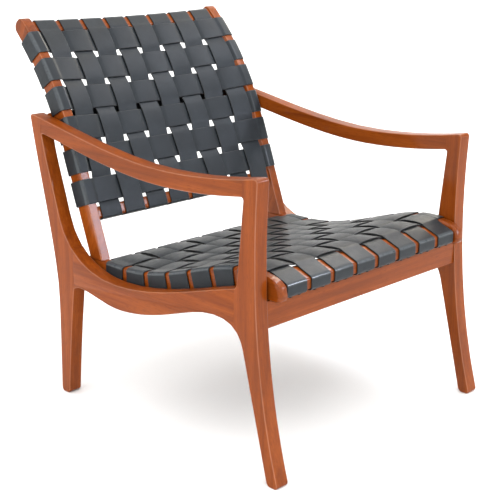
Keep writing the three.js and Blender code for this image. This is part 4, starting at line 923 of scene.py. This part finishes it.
# Rounding of the source's arrises and of the finished ones, the sideways lean of the faces in it, and
# how strongly a painted highlight makes it pale
ARRIS_SAWN = 5 * MM
ARRIS_WORN = 2.4 * MM
ARRIS_LEAN_LEAST, ARRIS_LEAN_MOST = 0.05, 0.995
ARRIS_HIGHLIGHT = 0.38
FOOT_ROUND = 10 * MM
FOOT_LEVELS = 6


def run_tangent(vert, runs):
    """Direction of a smooth outline through a point, or None at a corner."""
    near = [edge for edge in vert.link_edges if edge in runs]
    if len(near) != 2:
        return None
    before, after = vert.co - near[0].other_vert(vert).co, near[1].other_vert(vert).co - vert.co
    if before.angle(after) > OUTLINE_CORNER:
        return None
    short, long = sorted((before, after), key=lambda way: way.length)
    if long.length > LONG_RUN * short.length:
        return long.normalized()
    return (before.normalized() * after.length + after.normalized() * before.length).normalized()


def spot_key(place):
    """A point in whole steps of the least distance that counts, to find it again by."""
    return tuple(round(c / SAME_PLACE) for c in place)


def refine_outline(bm):
    """Halves the steps of a plank's curved outlines, with each new point on the curve."""
    def on_outline(edge):
        first, last = edge.verts
        return abs(first.co.x - last.co.x) < SAME_PLACE and edge.calc_face_angle(0) > OUTLINE_FLAT

    runs = dict.fromkeys(edge for edge in bm.edges if on_outline(edge))
    bent = {}
    for edge in runs:
        first, last = edge.verts
        chord = last.co - first.co
        along = chord.normalized()
        ways = [run_tangent(vert, runs) for vert in edge.verts]
        ways = [way if way is None or way.dot(along) > 0 else -way for way in ways]
        if ways == [None, None]:
            continue
        mirrored = [way and along * (2 * along.dot(way)) - way for way in ways]
        start, end = ways[0] or mirrored[1], ways[1] or mirrored[0]
        offset = (start - end) * (chord.length * CURVE_RISE)
        if offset.length > SAME_PLACE:
            bent[edge] = (first.co + last.co) / 2, offset
    places = {spot_key(middle): middle + offset for middle, offset in bent.values()}
    made = bmesh.ops.subdivide_edges(bm, edges=list(bent), cuts=1, use_single_edge=True)
    for vert in made["geom_inner"]:
        if isinstance(vert, bmesh.types.BMVert):
            vert.co = places.get(spot_key(vert.co), vert.co)


def crisp_arris(bm):
    """Narrows the rounding along a plank's edges to that of the finished chair, and marks the painted
    highlight along them."""
    rubbed = bm.verts.layers.float.new("arris")
    sides = [vert.co.x for vert in bm.verts]
    middle, half = (min(sides) + max(sides)) / 2, (max(sides) - min(sides)) / 2
    flat = half - ARRIS_SAWN
    outward = {}
    for face in bm.faces:
        rounded = all(abs(vert.co.x - middle) > flat - SAME_PLACE for vert in face.verts)
        if rounded and ARRIS_LEAN_LEAST < abs(face.normal.x) < ARRIS_LEAN_MOST:
            for vert in face.verts:
                outward.setdefault(vert, Vector())
                outward[vert] += Vector((0, face.normal.y, face.normal.z)).normalized()
    for vert, way in outward.items():
        across = vert.co.x - middle
        rise = min(max((abs(across) - flat) / ARRIS_SAWN, 0), 1)
        run = math.sqrt(1 - rise ** 2)
        vert.co += way.normalized() * (ARRIS_SAWN - ARRIS_WORN) * (1 - run)
        vert.co.x = middle + math.copysign(half - ARRIS_WORN * (1 - rise), across)
        # The painted highlight is strongest halfway round the arris
        vert[rubbed] = ARRIS_HIGHLIGHT * 2 * rise * run


def round_foot(bm):
    """Rounds the front and the rear edge of a leg's foot."""
    levels = [FOOT_ROUND * (1 - math.cos(math.pi / 2 * k / FOOT_LEVELS)) for k in range(FOOT_LEVELS + 1)]
    for level in levels[1:]:
        geom = [*bm.verts, *bm.edges, *bm.faces]
        bmesh.ops.bisect_plane(bm, geom=geom, plane_co=(0, 0, level), plane_no=(0, 0, 1))
    ends = []
    for level in (0, FOOT_ROUND):
        ring = [vert.co.y for vert in bm.verts if abs(vert.co.z - level) < SAME_PLACE]
        ends.append((min(ring), max(ring)))
    for vert in bm.verts:
        below = min(FOOT_ROUND - vert.co.z, FOOT_ROUND)
        if below > 0:
            front, rear = (np.interp(vert.co.z, (0, FOOT_ROUND), places) for places in zip(*ends))
            middle, half = (front + rear) / 2, (rear - front) / 2
            inset = FOOT_ROUND - math.sqrt(FOOT_ROUND ** 2 - below ** 2)
            vert.co.y = middle + (vert.co.y - middle) * (half - inset) / half


def shaped_plank(node):
    """A copy of a sawn plank with crisper arrises and finer curves, and a rounded foot if it is a leg."""
    bm = bmesh.new()
    bm.from_mesh(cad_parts[node].data)
    bmesh.ops.remove_doubles(bm, verts=bm.verts, dist=SAME_PLACE)
    if not node.endswith("seat_rail"):
        crisp_arris(bm)
    for _ in range(OUTLINE_PASSES):
        refine_outline(bm)
    if node.endswith("leg"):
        round_foot(bm)
    mesh = bpy.data.meshes.new(f"{node}_wood")
    bm.to_mesh(mesh)
    bm.free()
    piece = add_piece(f"{node}_wood", mesh)
    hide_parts(node)
    return piece


def finish(piece, material):
    """Shades a piece's rounded edges smoothly, and gives it its material."""
    mesh = piece.data
    mesh.polygons.foreach_set("use_smooth", [True] * len(mesh.polygons))
    piece.modifiers.new("weld", "WELD").merge_threshold = SAME_PLACE
    piece.modifiers.new("corners", "EDGE_SPLIT").split_angle = SHARP_TURN
    piece.modifiers.new("shading", "WEIGHTED_NORMAL").keep_sharp = True
    mesh.materials.clear()
    mesh.materials.append(material)


class CHAIR_OT_wood(bpy.types.Operator):
    """Gives the wooden frame its finer shapes and its lacquered finish"""
    bl_idname = "chair.wood"
    bl_label = "Finish the wooden frame"

    def execute(self, context):
        colours = context.scene.chair_colours
        for way, (grain, words) in WOOD_PIECES.items():
            material = lacquered_mahogany(f"lacquered_mahogany_{way}", grain, colours)
            for word in words:
                for side in SIDES:
                    finish(shaped_plank(f"{side}_{word}"), material)
        material = lacquered_mahogany("lacquered_mahogany_crosswise", GRAIN_ACROSS, colours)
        for node in CROSS_PIECES:
            finish(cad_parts[node], material)
        return {"FINISHED"}


class CHAIR_OT_seat_cross_straps(bpy.types.Operator):
    """Lays the straps that run across the seat and fold round its side rails"""
    bl_idname = "chair.seat_cross_straps"
    bl_label = "Lay the seat's cross straps"

    def execute(self, context):
        weave = Weave(context.scene.chair_sizes)
        lay_straps(context, "seat_strap_cross", weave.seat_cross, weave.seat_cross_path, seat_cross_place, 1)
        return {"FINISHED"}


class CHAIR_OT_seat_long_straps(bpy.types.Operator):
    """Weaves the straps that run from the seat's front bar to its rear bar"""
    bl_idname = "chair.seat_long_straps"
    bl_label = "Weave the seat's long straps"

    def execute(self, context):
        weave = Weave(context.scene.chair_sizes)
        lay_straps(context, "seat_strap_long", weave.seat_long, weave.seat_long_path, seat_long_place, 1)
        return {"FINISHED"}


class CHAIR_OT_back_cross_straps(bpy.types.Operator):
    """Lays the straps that run across the back and fold round its stiles"""
    bl_idname = "chair.back_cross_straps"
    bl_label = "Lay the back's cross straps"

    def execute(self, context):
        weave = Weave(context.scene.chair_sizes)
        lay_straps(context, "back_strap_cross", weave.back_cross[::-1], weave.back_cross_path,
                   back_cross_place, -1)
        return {"FINISHED"}


class CHAIR_OT_back_upright_straps(bpy.types.Operator):
    """Weaves the straps that run up the back between its two rails"""
    bl_idname = "chair.back_upright_straps"
    bl_label = "Weave the back's upright straps"

    def execute(self, context):
        weave = Weave(context.scene.chair_sizes)
        lay_straps(context, "back_strap_upright", weave.back_upright, weave.back_upright_path,
                   back_upright_place, -1)
        return {"FINISHED"}


# The black strip on the support rail, a dark sheet that paints the shade seen through the back's gaps
FACING_WIDTH = 27 * MM
FACING_END_MARGIN = 4 * MM
FACING_LAY = 0.2 * MM
SUPPORT_RAIL_THICKNESS = 22 * MM
# Steps in which the rail's place up the back is looked for
FACING_SEARCH_STEPS = 1000


class CHAIR_OT_support_facing(bpy.types.Operator):
    """Lines the front of the back support rail with black leather: painted shade for the gaps before it"""
    bl_idname = "chair.support_facing"
    bl_label = "Face the back support rail"

    def execute(self, context):
        sizes, colours = context.scene.chair_sizes, context.scene.chair_colours
        front = STILE_DEPTH + STRAP_LAY + sizes.strap_thickness + STRAP_GAP
        low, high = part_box("back_support_rail")
        travels = np.linspace(BOTTOM_RAIL_TOP, TOP_RAIL_LOW, FACING_SEARCH_STEPS)
        y, z = back_point(travels, front + SUPPORT_RAIL_THICKNESS / 2)
        middle = travels[np.argmin(np.hypot(y - (low.y + high.y) / 2, z - (low.z + high.z) / 2))]
        depth = front - FACING_LAY - sizes.strap_thickness / 2
        end = RAIL_INNER - FACING_END_MARGIN
        edge = leather_materials(colours)[1]
        piece, long, _ = make_strap("back_support_facing", [(-end, depth), (end, depth)], middle,
                                    facing_place, -1, FACING_WIDTH, sizes, [edge, edge])
        return {"FINISHED"}


class CHAIR_OT_bolts(bpy.types.Operator):
    """Gives the bolts under the seat their plain steel finish"""
    bl_idname = "chair.bolts"
    bl_label = "Finish the bolts"

    def execute(self, context):
        steel = plain_steel("plain_steel_bolts", context.scene.chair_colours.steel, BOLT_ROUGHNESS)
        for side in SIDES:
            for end in ("front", "rear"):
                finish(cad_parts[f"{side}_{end}_bolt"], steel)
        return {"FINISHED"}


class CHAIR_PT_panel(bpy.types.Panel):
    """Lists the sizes, the colours and the steps of the chair"""
    bl_label = "Lounge chair"
    bl_idname = "CHAIR_PT_panel"
    bl_space_type = "VIEW_3D"
    bl_region_type = "UI"
    bl_category = "Lounge chair"

    def draw(self, context):
        for group in (context.scene.chair_sizes, context.scene.chair_colours):
            for key in group.__annotations__:
                self.layout.prop(group, key)
        for step in STEPS:
            self.layout.operator(step.bl_idname)


STEPS = (
    CHAIR_OT_stage,
    CHAIR_OT_wood,
    CHAIR_OT_bolts,
    CHAIR_OT_seat_cross_straps,
    CHAIR_OT_seat_long_straps,
    CHAIR_OT_back_cross_straps,
    CHAIR_OT_back_upright_straps,
    CHAIR_OT_support_facing,
)
CLASSES = (ChairSizes, ChairColours, *STEPS, CHAIR_PT_panel)


def register():
    for each in CLASSES:
        bpy.utils.register_class(each)
    bpy.types.Scene.chair_sizes = PointerProperty(type=ChairSizes)
    bpy.types.Scene.chair_colours = PointerProperty(type=ChairColours)


def unregister():
    del bpy.types.Scene.chair_colours
    del bpy.types.Scene.chair_sizes
    for each in reversed(CLASSES):
        bpy.utils.unregister_class(each)


def main():
    """Builds the whole chair and its stage."""
    register()
    bpy.ops.chair.stage()
    bpy.ops.chair.wood()
    bpy.ops.chair.bolts()
    bpy.ops.chair.seat_cross_straps()
    bpy.ops.chair.seat_long_straps()
    bpy.ops.chair.back_cross_straps()
    bpy.ops.chair.back_upright_straps()
    bpy.ops.chair.support_facing()


if __name__ == "__main__":
    main()
